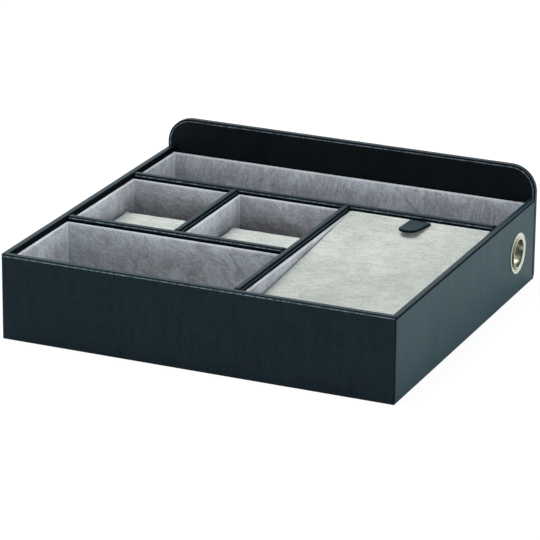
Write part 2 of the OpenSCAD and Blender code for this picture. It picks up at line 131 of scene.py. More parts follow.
def settle(piece):        # writes the piece's modifiers into its mesh
    graph = bpy.context.evaluated_depsgraph_get()
    mesh = bpy.data.meshes.new_from_object(piece.evaluated_get(graph))
    piece.modifiers.clear()
    piece.data = mesh
    mesh.name = piece.name


def finishPiece(piece, material, slotName, body, *nodes):
    if material is not None:
        piece.data.materials.clear()
        piece.data.materials.append(material)
    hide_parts(*nodes)
    if body:
        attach(piece, body)


# Node helpers: inputs are named or numbered, and take a value or another node's output

def setInput(tree, socket, value):
    if isinstance(value, bpy.types.NodeSocket):
        tree.links.new(value, socket)
    else:
        socket.default_value = value


def addNode(tree, kind, inputs=None, **settings):
    node = tree.nodes.new(kind)
    for key, value in settings.items():
        setattr(node, key, value)
    for key, value in (inputs or {}).items():
        setInput(tree, node.inputs[key], value)
    return node


def calc(tree, operation, *values):
    return addNode(tree, "ShaderNodeMath", dict(enumerate(values)), operation=operation).outputs[0]


def vectorCalc(tree, operation, *values):
    return addNode(tree, "ShaderNodeVectorMath", dict(enumerate(values)), operation=operation).outputs[0]


def scaled(tree, vector, amount):
    return addNode(tree, "ShaderNodeVectorMath", {0: vector, "Scale": amount}, operation="SCALE").outputs[0]


def combine(tree, *parts):
    return addNode(tree, "ShaderNodeCombineXYZ", dict(enumerate(parts))).outputs[0]


def separate(tree, vector):
    return addNode(tree, "ShaderNodeSeparateXYZ", {0: vector}).outputs


def attribute(tree, name, output="Fac"):
    return addNode(tree, "ShaderNodeAttribute", attribute_name=name).outputs[output]


# A noise's colour about its middle, as a shift of up to half the reach each way
def wander(tree, vector, scale, detail, reach):
    warp = addNode(tree, "ShaderNodeTexNoise", {"Vector": vector, "Scale": scale, "Detail": detail})
    middle = (0.5, 0.5, 0.5)
    return scaled(tree, vectorCalc(tree, "SUBTRACT", warp.outputs["Color"], middle), reach)


def remap(tree, value, low, high, toLow=0.0, toHigh=1.0):
    return addNode(tree, "ShaderNodeMapRange", {
        "Value": value, "From Min": low, "From Max": high, "To Min": toLow, "To Max": toHigh,
    }, interpolation_type="SMOOTHSTEP").outputs[0]


def mixColour(tree, factor, first, second):
    return addNode(tree, "ShaderNodeMix", {0: factor, 6: first, 7: second}, data_type="RGBA").outputs[2]


def noiseAt(tree, vector, scale, detail=2.0, rough=0.5, distortion=0.0):
    return addNode(tree, "ShaderNodeTexNoise", {
        "Vector": vector, "Scale": scale, "Detail": detail, "Roughness": rough,
        "Distortion": distortion}).outputs[0]


def makeGroup(name, inputs, outputs, kind="ShaderNodeTree"):
    tree = bpy.data.node_groups.new(name, kind)
    for direction, sockets in (("INPUT", inputs), ("OUTPUT", outputs)):
        for label, socketType, *value in sockets:
            socket = tree.interface.new_socket(label, in_out=direction,
                                               socket_type="NodeSocket" + socketType)
            if value:
                socket.default_value = value[0]
    return tree, addNode(tree, "NodeGroupInput").outputs, addNode(tree, "NodeGroupOutput").inputs


def labelOf(key):        # "cellSize" names the input "Cell size"
    return key[0].upper() + "".join(" " + c.lower() if c.isupper() else c for c in key[1:])


def useGroup(tree, group, **inputs):
    node = addNode(tree, "ShaderNodeGroup", node_tree=group)
    for key, value in inputs.items():
        setInput(tree, node.inputs[labelOf(key)], value)
    return node.outputs


# Shader groups shared by the materials

def leatherGrainGroup():
    tree, given, put = makeGroup("leatherGrain", [
        ("Vector", "Vector"), ("Cell size", "Float", 0.0008), ("Mottle size", "Float", 0.02),
    ], [("Height", "Float"), ("Pits", "Float"), ("Mottle", "Float")])
    cells = calc(tree, "DIVIDE", 1.0, given["Cell size"])
    shift = wander(tree, given["Vector"], calc(tree, "MULTIPLY", cells, 0.5), 1.0,
                   calc(tree, "MULTIPLY", given["Cell size"], 0.9))
    place = vectorCalc(tree, "ADD", given["Vector"], shift)
    edge = addNode(tree, "ShaderNodeTexVoronoi", {
        "Vector": place, "Scale": cells, "Randomness": 0.9}, feature="DISTANCE_TO_EDGE")
    pebble = remap(tree, edge.outputs["Distance"], 0.0, 0.28)
    fine = noiseAt(tree, given["Vector"], calc(tree, "MULTIPLY", cells, 2.6), 3.0, 0.6)
    tree.links.new(calc(tree, "MULTIPLY_ADD", fine, 0.35, calc(tree, "MULTIPLY", pebble, 0.65)),
                   put["Height"])
    tree.links.new(calc(tree, "SUBTRACT", 1.0, pebble), put["Pits"])
    spread = calc(tree, "DIVIDE", 1.0, given["Mottle size"])
    tree.links.new(noiseAt(tree, given["Vector"], spread, 5.0, 0.6, 0.4), put["Mottle"])
    return tree


def suedeNapGroup():
    tree, given, put = makeGroup("suedeNap", [
        ("Vector", "Vector"), ("Turn", "Float", 0.0), ("Spread", "Float", 0.5),
        ("Patch size", "Float", 0.03), ("Streak length", "Float", 0.02),
        ("Streak width", "Float", 0.0012), ("Mottle size", "Float", 0.015), ("Line size", "Float", 0.03),
    ], [("Streak", "Float"), ("Mottle", "Float"), ("Tone", "Float"), ("Lines", "Float"),
        ("Grain", "Float"), ("Height", "Float")])
    place = given["Vector"]
    # Curved patches, each brushed in a direction and tone of its own
    patchScale = calc(tree, "DIVIDE", 1.0, given["Patch size"])
    bend = wander(tree, place, calc(tree, "MULTIPLY", patchScale, 0.9), 3.0,
                  calc(tree, "MULTIPLY", given["Patch size"], 1.7))
    warped = vectorCalc(tree, "ADD", place, bend)
    cells = addNode(tree, "ShaderNodeTexVoronoi", {
        "Vector": warped, "Scale": patchScale, "Smoothness": 0.35}, feature="SMOOTH_F1")
    borders = addNode(tree, "ShaderNodeTexVoronoi", {
        "Vector": warped, "Scale": patchScale}, feature="DISTANCE_TO_EDGE")
    chance = separate(tree, cells.outputs["Color"])
    swing = calc(tree, "MULTIPLY", calc(tree, "SUBTRACT", chance[0], 0.5), given["Spread"])
    turned = addNode(tree, "ShaderNodeVectorRotate", {
        "Vector": place, "Angle": calc(tree, "MULTIPLY_ADD", swing, 2.0, given["Turn"])},
        rotation_type="Z_AXIS").outputs[0]
    along = calc(tree, "DIVIDE", 1.0, given["Streak length"])
    across = calc(tree, "DIVIDE", 1.0, given["Streak width"])
    stretch = combine(tree, along, across, across)
    streak = noiseAt(tree, vectorCalc(tree, "MULTIPLY", turned, stretch), 1.0, 4.0, 0.62)
    mottle = noiseAt(tree, place, calc(tree, "DIVIDE", 1.0, given["Mottle size"]), 5.0, 0.62, 0.6)
    # Long thin creases run mostly along the strokes, and along some patch borders
    lineScale = calc(tree, "DIVIDE", 1.0, given["Line size"])
    sway = wander(tree, place, calc(tree, "MULTIPLY", lineScale, 1.2), 2.0,
                  calc(tree, "MULTIPLY", given["Line size"], 0.6))
    laid = addNode(tree, "ShaderNodeVectorRotate", {
        "Vector": vectorCalc(tree, "ADD", place, sway), "Angle": given["Turn"]},
        rotation_type="Z_AXIS").outputs[0]
    longer = combine(tree, calc(tree, "MULTIPLY", lineScale, 0.4), lineScale, lineScale)
    creases = addNode(tree, "ShaderNodeTexVoronoi", {
        "Vector": vectorCalc(tree, "MULTIPLY", laid, longer), "Scale": 1.0}, feature="DISTANCE_TO_EDGE")
    line = calc(tree, "SUBTRACT", 1.0, remap(tree, creases.outputs["Distance"], 0.0, 0.035))
    rand = noiseAt(tree, vectorCalc(tree, "ADD", place, (3.1, 1.7, 5.3)),
                   calc(tree, "MULTIPLY", lineScale, 0.8), 1.0)
    line = calc(tree, "MULTIPLY", line, remap(tree, rand, 0.45, 0.62))
    border = calc(tree, "SUBTRACT", 1.0, remap(tree, borders.outputs["Distance"], 0.0, 0.035))
    border = calc(tree, "MULTIPLY", border, remap(tree, rand, 0.55, 0.42, 0.0, 0.6))
    lines = calc(tree, "MAXIMUM", line, border)
    tree.links.new(streak, put["Streak"])
    tree.links.new(mottle, put["Mottle"])
    tree.links.new(chance[1], put["Tone"])
    tree.links.new(lines, put["Lines"])
    tree.links.new(noiseAt(tree, place, 750.0, 3.0, 0.65), put["Grain"])
    fibre = noiseAt(tree, place, 3200.0, 3.0, 0.7)
    height = calc(tree, "MULTIPLY_ADD", streak, 0.35, calc(tree, "MULTIPLY", mottle, 0.4))
    height = calc(tree, "MULTIPLY_ADD", fibre, 0.25, height)
    tree.links.new(calc(tree, "MULTIPLY_ADD", lines, -0.35, height), put["Height"])
    return tree


def fibreSpeckleGroup():
    tree, given, put = makeGroup("fibreSpeckle", [
        ("Vector", "Vector"), ("Fibre length", "Float", 0.002), ("Fibre width", "Float", 0.0003),
    ], [("Speckle", "Float"), ("Height", "Float")])
    along = calc(tree, "DIVIDE", 1.0, given["Fibre length"])
    across = calc(tree, "DIVIDE", 1.0, given["Fibre width"])
    layers = []
    for turn in (0.0, 1.1, 2.2):        # three crossing lays of fibres
        turned = addNode(tree, "ShaderNodeMapping", {
            "Vector": given["Vector"], "Rotation": (0, 0, turn)}).outputs[0]
        stretch = combine(tree, along, across, across)
        layers.append(noiseAt(tree, vectorCalc(tree, "MULTIPLY", turned, stretch), 1.0, 2.0, 0.6))
    total = calc(tree, "ADD", calc(tree, "ADD", layers[0], layers[1]), layers[2])
    mean = calc(tree, "DIVIDE", total, 3.0)
    tree.links.new(remap(tree, mean, 0.35, 0.65), put["Speckle"])
    tree.links.new(mean, put["Height"])
    return tree


leatherGrain = leatherGrainGroup()
suedeNap = suedeNapGroup()
fibreSpeckle = fibreSpeckleGroup()
print("shader groups built")


# Materials

def startMaterial(name, **constants):
    material = bpy.data.materials.new(name)
    material.use_nodes = True
    tree = material.node_tree
    shader = tree.nodes["Principled BSDF"]
    for label, value in constants.items():
        shader.inputs[label.replace("_", " ")].default_value = value
    place = addNode(tree, "ShaderNodeTexCoord").outputs["Object"]
    return material, tree, shader, place


def bump(tree, shader, height, strength, distance):
    node = addNode(tree, "ShaderNodeBump", {"Height": height, "Strength": strength, "Distance": distance})
    tree.links.new(node.outputs[0], shader.inputs["Normal"])


allLeather = {
    "press": (0.0005, 0.0010, 0.0015, 1), "mottle": 22.0, "sheenRough": 0.45, "bumpStrength": 0.6,
    "brushed": 0.12, "bandScale": 160.0, "bands": 0.3, "mottles": 0.25, "fleckScale": 600.0,
    "flecks": 0.75, "dim": 0.15, "shades": (0.35, 0.65), "glintScale": 420.0, "glints": (0.40, 0.60),
    "leastGlint": 0.35,
}
leatherLooks = {
    "leather": {
        "dark": (0.0008, 0.0012, 0.0032, 1), "light": (0.0068, 0.0100, 0.0205, 1),
        "worn": (0.38, 0.48, 0.58, 1),
        "roughLow": 0.34, "roughHigh": 0.46, "ior": 1.28, "tint": (0.60, 0.94, 1.0, 1),
        "sheen": 0.31, "sheenTint": (0.07, 0.64, 0.78, 1),
        "cell": 0.9, "grainDepth": 0.06, "pits": 0.5,
    },
    "rimLeather": {
        "dark": (0.0005, 0.0012, 0.0026, 1), "light": (0.0056, 0.0100, 0.0175, 1),
        "worn": (0.38, 0.48, 0.58, 1),
        "roughLow": 0.30, "roughHigh": 0.42, "ior": 1.27, "tint": (0.66, 0.94, 1.0, 1),
        "sheen": 0.18, "sheenTint": (0.10, 0.55, 0.75, 1),
        "cell": 0.9, "grainDepth": 0.06, "pits": 0.5,
    },
    "smoothLeather": {
        "dark": (0.0012, 0.0014, 0.0018, 1), "light": (0.0044, 0.0050, 0.0060, 1),
        "worn": (0.26, 0.33, 0.41, 1),
        "roughLow": 0.34, "roughHigh": 0.46, "ior": 1.20, "tint": (0.85, 0.95, 1.0, 1),
        "sheen": 0.20, "sheenTint": (0.14, 0.55, 0.78, 1),
        "cell": 0.9, "grainDepth": 0.05, "pits": 0.4,
    },
    # Painted shade: near-black leather for creases, inner bands and sides out of the light; also the tab's
    # painted cut edge
    "shadeAndEdgePaintLeather": {
        "dark": (0.0020, 0.0040, 0.0064, 1), "light": (0.0034, 0.0062, 0.0096, 1),
        "worn": (0.02, 0.03, 0.04, 1),
        "roughLow": 0.55, "roughHigh": 0.65, "ior": 1.10, "tint": (0.7, 0.9, 1.0, 1),
        "sheen": 0.0, "sheenTint": (1, 1, 1, 1),
        "cell": 0.75, "grainDepth": 0.03, "pits": 0.3,
    },
}


def makeLeather(name):
    look = {**allLeather, **leatherLooks[name]}
    material, tree, shader, place = startMaterial(
        name, IOR=look["ior"], Sheen_Weight=look["sheen"], Sheen_Roughness=look["sheenRough"],
        Sheen_Tint=look["sheenTint"], Specular_Tint=look["tint"])
    grain = useGroup(tree, leatherGrain, vector=place, cellSize=look["cell"] * mm,
                     mottleSize=look["mottle"] * mm)
    brushed = addNode(tree, "ShaderNodeMapping", {
        "Vector": place, "Scale": (1, 1, look["brushed"])}).outputs[0]
    bands = noiseAt(tree, brushed, look["bandScale"], 4.0, 0.6)
    fleck = noiseAt(tree, place, look["fleckScale"], 3.0, 0.7)
    mottle = calc(tree, "MULTIPLY", grain["Mottle"], look["mottles"])
    shade = calc(tree, "MULTIPLY_ADD", bands, look["bands"], mottle)
    shade = calc(tree, "MULTIPLY_ADD", fleck, look["flecks"], calc(tree, "SUBTRACT", shade, look["dim"]))
    colour = mixColour(tree, remap(tree, shade, *look["shades"]), look["dark"], look["light"])
    # Painted shade: the press mask darkens the fold at mitred corners
    press = attribute(tree, "press")
    colour = mixColour(tree, press, colour, look["press"])
    # Painted highlight: the lip highlight mask lightens the lips on the lit sides, in place of their
    # reflection
    worn = attribute(tree, "worn")
    # Noise breaks the lip's painted highlight into short glints
    glints = noiseAt(tree, place, look["glintScale"], 2.0, 0.6)
    worn = calc(tree, "MULTIPLY", worn, remap(tree, glints, *look["glints"], look["leastGlint"], 1.0))
    colour = mixColour(tree, worn, colour, look["worn"])
    pits = calc(tree, "MULTIPLY", grain["Pits"], look["pits"])
    colour = mixColour(tree, pits, colour, (0, 0, 0, 1))
    tree.links.new(colour, shader.inputs["Base Color"])
    tree.links.new(remap(tree, shade, *look["shades"], look["roughLow"], look["roughHigh"]),
                   shader.inputs["Roughness"])
    bump(tree, shader, grain["Height"], look["bumpStrength"], look["grainDepth"] * mm)
    return material


allSuede = {"rough": 0.92, "ior": 1.25, "sheenRough": 0.6, "sheen": 0.10, "shades": (-0.14, 0.14),
            "bumpStrength": 0.55, "streaks": 0.52, "lightLift": 0.30}
suedeLooks = {
    "suedeGrey": {
        "dark": (0.38, 0.38, 0.415, 1), "light": (0.69, 0.72, 0.785, 1), "edge": (0.96, 0.98, 0.99, 1),
        "line": (0.17, 0.165, 0.19, 1), "spread": 0.4, "patch": 30.0,
        "length": 13.0, "width": 0.8, "mottle": 17.0, "lineSize": 20.0,
        "depth": 0.18, "mottles": 0.40, "tones": 0.07, "grains": 0.42, "lines": 0.38,
    },
    "suedePale": {
        "dark": (0.57, 0.62, 0.575, 1), "light": (0.85, 0.885, 0.825, 1), "edge": (0.96, 0.98, 0.95, 1),
        "line": (0.36, 0.40, 0.36, 1), "spread": 0.35, "patch": 28.0,
        "length": 17.0, "width": 1.3, "mottle": 20.0, "lineSize": 15.0,
        "depth": 0.16, "mottles": 0.30, "tones": 0.06, "grains": 0.50, "lines": 0.36,
    },
}


def makeSuede(name):
    look = {**allSuede, **suedeLooks[name]}
    material, tree, shader, place = startMaterial(
        name, Roughness=look["rough"], IOR=look["ior"], Sheen_Weight=look["sheen"],
        Sheen_Roughness=look["sheenRough"])
    cloth = attribute(tree, "cloth", "Vector")
    lay = attribute(tree, "lay")
    lightLifted = attribute(tree, "nap")
    edge = attribute(tree, "edge")
    nap = useGroup(tree, suedeNap, vector=cloth, turn=lay, spread=look["spread"],
                   patchSize=look["patch"] * mm, streakLength=look["length"] * mm,
                   streakWidth=look["width"] * mm, mottleSize=look["mottle"] * mm,
                   lineSize=look["lineSize"] * mm)
    shade = calc(tree, "MULTIPLY", calc(tree, "SUBTRACT", nap["Streak"], 0.5), look["streaks"])
    for part, amount in (("Mottle", "mottles"), ("Tone", "tones"), ("Grain", "grains")):
        shade = calc(tree, "MULTIPLY_ADD", calc(tree, "SUBTRACT", nap[part], 0.5), look[amount], shade)
    colour = mixColour(tree, remap(tree, shade, *look["shades"]), look["dark"], look["light"])
    colour = mixColour(tree, calc(tree, "MULTIPLY", nap["Lines"], look["lines"]), colour, look["line"])
    # Painted highlight: the edge colour brightens the suede along the slab's edges
    colour = mixColour(tree, edge, colour, look["edge"])
    # Painted light: each card's colour is raised by how much light it should catch
    colour = scaled(tree, colour, calc(tree, "MULTIPLY_ADD", lightLifted, look["lightLift"], 1.0))
    tree.links.new(colour, shader.inputs["Base Color"])
    bump(tree, shader, nap["Height"], look["bumpStrength"], look["depth"] * mm)
    return material


allFibre = {"rough": 0.95, "bumpStrength": 0.7}
fibreLooks = {
    "fibreboard": {"dark": (0.29, 0.19, 0.11, 1), "light": (0.50, 0.36, 0.23, 1),
                   "length": 1.6, "width": 0.3, "depth": 0.10},
    "felt": {"dark": (0.002, 0.002, 0.003, 1), "light": (0.008, 0.008, 0.010, 1),
             "length": 5.0, "width": 0.18, "depth": 0.20},
}


def makeFibre(name):
    look = {**allFibre, **fibreLooks[name]}
    material, tree, shader, place = startMaterial(name, Roughness=look["rough"])
    fibres = useGroup(tree, fibreSpeckle, vector=place, fibreLength=look["length"] * mm,
                      fibreWidth=look["width"] * mm)
    tree.links.new(mixColour(tree, fibres["Speckle"], look["dark"], look["light"]),
                   shader.inputs["Base Color"])
    bump(tree, shader, fibres["Height"], look["bumpStrength"], look["depth"] * mm)
    return material


nickelLook = {"clean": (0.68, 0.71, 0.59, 1), "dull": (0.52, 0.55, 0.45, 1),
              "darkening": (0.100, 0.088, 0.042, 1), "roughLow": 0.18, "roughHigh": 0.32, "scratch": 0.012,
              "hazeScale": 260.0, "hazes": (0.35, 0.7), "scratchTurn": (0.4, 0, 0),
              "scratchScale": (1, 60, 3000), "bumpStrength": 0.25}


def makeNickel():
    look = nickelLook
    material, tree, shader, place = startMaterial("nickel", Metallic=1.0)
    haze = noiseAt(tree, place, look["hazeScale"], 4.0, 0.6)
    scratched = addNode(tree, "ShaderNodeMapping", {
        "Vector": place, "Rotation": look["scratchTurn"],
        "Scale": look["scratchScale"]}).outputs[0]
    scratches = noiseAt(tree, scratched, 1.0, 2.0, 0.5)
    haze = remap(tree, haze, *look["hazes"])
    # The darkening mask paints shade in the groove and the dark tray's reflection in the bore
    darkening = attribute(tree, "darkening")
    colour = mixColour(tree, haze, look["clean"], look["dull"])
    tree.links.new(mixColour(tree, darkening, colour, look["darkening"]), shader.inputs["Base Color"])
    tree.links.new(remap(tree, haze, 0, 1, look["roughLow"], look["roughHigh"]),
                   shader.inputs["Roughness"])
    bump(tree, shader, scratches, look["bumpStrength"], look["scratch"] * mm)
    return material


threadLook = {"dark": (0.001, 0.001, 0.002, 1), "light": (0.004, 0.005, 0.006, 1), "rough": 0.8,
              "ior": 1.15, "turn": (0, 0, 0.6), "twistScale": 900.0, "uneven": 0.4,
              "bumpStrength": 0.6, "depth": 0.06}


def makeThread():
    look = threadLook
    material, tree, shader, place = startMaterial("thread", Roughness=look["rough"], IOR=look["ior"])
    turned = addNode(tree, "ShaderNodeMapping", {
        "Vector": place, "Rotation": look["turn"]}).outputs[0]
    twist = addNode(tree, "ShaderNodeTexWave", {
        "Vector": turned, "Scale": look["twistScale"], "Distortion": look["uneven"]}).outputs[1]
    tree.links.new(mixColour(tree, twist, look["dark"], look["light"]), shader.inputs["Base Color"])
    bump(tree, shader, twist, look["bumpStrength"], look["depth"] * mm)
    return material


leather = makeLeather("leather")
rimLeather = makeLeather("rimLeather")
smoothLeather = makeLeather("smoothLeather")
shadeAndEdgePaintLeather = makeLeather("shadeAndEdgePaintLeather")
suedeGrey = makeSuede("suedeGrey")
suedePale = makeSuede("suedePale")
fibreboard = makeFibre("fibreboard")
felt = makeFibre("felt")
nickel = makeNickel()
thread = makeThread()
print("materials built")


# Leather covers of the walls and dividers: one section swept along each board

wall = {
    "board": 3.4, "leather": 0.8,        # thicknesses
    "rimCrown": 0.08, "least": 0.07,
    "creaseDepth": 0.46, "creaseWidth": 0.26, "lipWidth": 0.40, "grooveDrop": 2.6, "grooveWidth": 0.28,
    "lipHighlightWidth": 0.36, "faceInset": 0.10, "faceWave": 0.07, "waveSize": 45.0,
    "pressWander": 0.22, "wanderSize": 9.0,
    "fineRow": 0.13, "fineReach": 4.3, "coarseRow": 3.0, "station": 2.0,
    "cornerRadius": 1.5, "seamDepth": 0.22, "seamWidth": 0.34, "cornerSink": 0.42, "jointGap": 0.05,
    "jointBand": 1.7, "joinSink": 0.42, "joinLeast": 0.4, "seamShare": 0.3,
    "sideways": 0.9, "upwards": 0.7,        # least normals of a side's rows and of the crown's
    "crownShares": (0.2, 0.4, 0.6, 0.8),
    "markedSum": 2.4,        # a face takes a mark when its four corners' marks add up to more
    "cornerShares": (0, 0.12, 0.27, 0.46, 0.7, 1), "cornerRest": 1.5, "cornerSpread": 0.8,
}
wallThick = wall["board"] + 2 * wall["leather"]
# Each kind of side: drops of its crease and lip, its painted lip highlight, and the drops between which it
# is painted black as shade
rims = {
    "outerFront": {"radius": 0.8, "crease": 0.75, "lip": 1.60, "rise": 0.12, "groove": 0.05, "worn": 0.8,
                   "dark": ((0.50, 1.02),)},
    "outerRight": {"radius": 0.8, "crease": 1.40, "lip": 2.60, "rise": 0.0, "groove": 0.0, "worn": 0.0,
                   "dark": ((0.60, 2.50),)},
    "innerFront": {"radius": 1.3, "crease": 0.75, "lip": 1.60, "rise": 0.12, "groove": 0.30, "worn": 1.0,
                   "dark": ((0.36, 1.12), (2.25, 99))},
    "rearFront": {"radius": 1.3, "crease": 0.70, "lip": 1.80, "rise": 0.12, "groove": 0.30, "worn": 1.0,
                  "dark": ((0.34, 1.25), (2.40, 99))},
    "innerRight": {"radius": 1.9, "crease": 0.85, "lip": 2.30, "rise": 0.0, "groove": 0.20, "worn": 0.22,
                   "dark": ((0.30, 1.80), (2.70, 99))},
    "innerLeft": {"radius": 1.3, "crease": 0.85, "lip": 2.30, "rise": 0.0, "groove": 0.20, "worn": 0.0,
                  "dark": ((0.30, 99),)},
    "innerBay": {"radius": 2.0, "crease": 0.75, "lip": 2.00, "rise": 0.0, "groove": 0.20, "worn": 0.0,
                 "dark": ((1.60, 99),)},
    "panelFront": {"crease": 1.00, "lip": 1.80, "rise": 0.09, "groove": 0.05, "worn": 0.9,
                   "dark": ((0.72, 1.26),)},
}


def pressed(drop, kind):        # depth, blackening as painted shade and painted lip highlight at this drop below the rim
    rim = rims[kind]
    depth = wall["creaseDepth"] * gauss(drop, rim["crease"], wall["creaseWidth"])
    depth += rim["groove"] * gauss(drop, wall["grooveDrop"], wall["grooveWidth"])
    depth -= rim["rise"] * gauss(drop, rim["lip"], wall["lipWidth"])
    dark = any(low <= drop <= high for low, high in rim["dark"])
    return depth, float(dark), rim["worn"] * gauss(drop, rim["lip"], wall["lipHighlightWidth"])


# Rows of one side from the rim's top edge down: inset, drop, outward normal, depth, dark (painted shade),
# lip highlight (painted highlight)
def sideRows(kind, radius, reach, fineReach=wall["fineReach"]):
    rows = []
    for a in steps(0, pi / 2, wall["fineRow"] / radius):
        inset = radius * (1 - sin(a)) + wall["faceInset"] * sin(a)
        drop = radius * (1 - cos(a))
        rows.append((inset, drop, (-sin(a), cos(a)), *pressed(drop, kind)))
    drops = steps(radius, wall["fineReach"], wall["fineRow"])[1:]
    if fineReach > wall["fineReach"]:
        drops += steps(wall["fineReach"], fineReach, 3 * wall["fineRow"])[1:]
    drops += steps(fineReach, reach, wall["coarseRow"])[1:]
    for drop in drops:
        rows.append((wall["faceInset"], drop, (-1, 0), *pressed(drop, kind)))
    return rows


# Closed section as (across, height, normal, depth, dark as painted shade, painted lip highlight); across is
# 0 on the near face
def wallSection(rimZ, nearKind, nearFoot, farKind, farFoot):
    radii = [rims[kind]["radius"] for kind in (nearKind, farKind)]
    near = [(i, rimZ - d, n, *rest)
            for i, d, n, *rest in reversed(sideRows(nearKind, radii[0], rimZ - nearFoot))]
    far = [(wallThick - i, rimZ - d, (-n[0], n[1]), *rest)
           for i, d, n, *rest in sideRows(farKind, radii[1], rimZ - farFoot)]
    low, high = radii[0], wallThick - radii[1]
    crown = [(low + (high - low) * s, rimZ, (0, 1), wall["rimCrown"] * (2 * s - 1) ** 2, 0, 0)
             for s in wall["crownShares"]]
    boardIn = wall["leather"] + wall["board"]
    boardTop = rimZ - wall["leather"]
    core = [(boardIn, farFoot), (boardIn, boardTop), (wall["leather"], boardTop),
            (wall["leather"], nearFoot)]
    return near + crown + far + [(x, z, (0, 0), 0, 0, 0) for x, z in core]


def sinkRoom(across, drop, normal):        # how deep this point may sink before it meets the board
    side = min(across, wallThick - across)
    rooms = [0.0]
    if normal[0]:
        rooms.append((wall["leather"] - side - wall["least"]) / abs(normal[0]))
    if normal[1]:
        rooms.append((wall["leather"] - drop - wall["least"]) / normal[1])
    return max(rooms)


def seam(distance):        # the fold where two covers meet at a mitred corner
    return wall["seamDepth"] * gauss(distance, 0, wall["seamWidth"])


# Plan place (along, across) of a point near a mitred corner; share 0 is on the mitre
def corner(across, share):
    radius = wall["cornerRadius"]
    if across >= radius:
        return across + wall["cornerSpread"] * share, across
    angle = radians(45 + 45 * share)
    rest = radius - across
    return radius - rest * cos(angle), radius - rest * sin(angle)


def joinReach(drop):        # how far a neighbour's rounded edge draws back at this drop
    radius = rims["innerFront"]["radius"]
    return radius - sqrt(radius ** 2 - (radius - min(drop, radius)) ** 2)


def leatherWall(node, origin, along, inwards, length, section, mitres, joins):
    origin, along, inwards = Vector(origin), Vector(along), Vector(inwards)
    shares = wall["cornerShares"]
    cornerReach = wallThick + wall["cornerRest"]
    places = [("start", s) for s in shares] if mitres[0] else [("first", 1), ("first", 0)]
    low = cornerReach if mitres[0] else wall["station"]
    high = length - (cornerReach if mitres[1] else wall["station"])
    places += [("flat", u) for u in steps(low, high, wall["station"])]
    places += [("end", s) for s in reversed(shares)] if mitres[1] else [("last", 0), ("last", 1)]
    cornerDepths = [pressed(max(rimZ - height, 0), "outerFront")[0] for _, height, *_ in section]
    points, masks = [], []
    arc, least = wall["cornerRadius"] * radians(45), wall["joinLeast"]
    for kind, value in places:
        mitred, joined = kind in ("start", "end"), kind in ("first", "last")
        for (across, height, normal, depth, dark, worn), cornerDepth in zip(section, cornerDepths):
            solid = normal != (0, 0)
            fold = seam(value * arc) if mitred and normal[0] <= 0 and solid else 0
            u = {"start": 0, "first": 0, "end": length, "last": length}.get(kind, value)
            spot = origin + along * u + inwards * across + Vector((0, 0, height))
            if mitred:
                depth = cornerDepth * (1 - value) + depth * value if solid else 0
                sink = min(depth + fold, wall["cornerSink"])
            else:
                sink = depth * (1 + wall["pressWander"] * noise.noise(spot / wall["wanderSize"]))
                if depth or normal[0]:
                    sink += wall["faceWave"] * (0.5 + noise.noise(spot / wall["waveSize"]))
                sink = min(sink, sinkRoom(across, rimZ - height, normal))
            d = across - normal[0] * sink
            z = height - normal[1] * sink
            if mitred:
                u, d = corner(d, value)
                u = length - u if kind == "end" else u
            elif joined:        # the end reaches into a neighbour's rounding, painted black as the shade of the seam
                reach = joinReach(rimZ - height) if joins and solid else 0
                u = wall["jointGap"] - reach if value else wall["jointBand"]
                u = length - u if kind == "last" else u
                z -= wall["joinSink"] * (least + (1 - least) * value) if joins and normal[1] > 0 else 0
                dark = 1.0 if joins else dark
            # Painted shade: a black strip beside the mitre on the outer face stands for the corner's shadow
            if mitred and value < wall["seamShare"] and normal[0] < -wall["sideways"]:
                dark = 1.0
            points.append(origin + along * u + inwards * d + Vector((0, 0, z)))
            # press carries the painted shade of the corner's fold
            masks.append((min(1, fold / wall["seamDepth"]), dark, worn, normal[1] > wall["upwards"]))
    piece = newPiece(node + "_leather", points, loopFaces(len(places), len(section)))
    faceOutwards(piece)
    dressLeather(piece, masks)
    return piece


def dressLeather(piece, masks, hide=leather):        # masks are press (painted shade in corner folds), dark (faces painted black as shade, or the tab's painted cut edge), lip highlight (painted highlight) and crown
    press, dark, worn, crown = zip(*masks)
    setMask(piece, "press", press)
    setMask(piece, "worn", worn)
    for material in (hide, shadeAndEdgePaintLeather, rimLeather):
        piece.data.materials.append(material)
    for face in piece.data.polygons:
        if len(face.vertices) == 4:
            isDark = sum(dark[i] for i in face.vertices) > wall["markedSum"]
            isCrown = sum(crown[i] for i in face.vertices) > wall["markedSum"]
            face.material_index = 1 if isDark else 2 * isCrown


wallsLow = Vector((boxOf("left_cover")[0].x, boxOf("front_cover")[0].y, 0))
wallsHigh = Vector((boxOf("right_cover")[1].x, boxOf("right_cover")[1].y, 0))


def coverPlan(node):        # origin, along and inwards of a cover, and its length
    low, high = boxOf(node)
    if node == "front_cover":
        return (wallsLow.x, wallsLow.y, 0), (1, 0, 0), (0, 1, 0), wallsHigh.x - wallsLow.x
    if node == "left_cover":
        return (wallsLow.x, wallsLow.y, 0), (0, 1, 0), (1, 0, 0), high.y - wallsLow.y
    if node == "right_cover":
        return (wallsHigh.x, wallsLow.y, 0), (0, 1, 0), (-1, 0, 0), high.y - wallsLow.y
    if node in ("rear_divider_cover", "cross_divider_cover"):
        return (low.x, low.y, 0), (1, 0, 0), (0, 1, 0), high.x - low.x
    return (low.x, low.y, 0), (0, 1, 0), (1, 0, 0), high.y - low.y


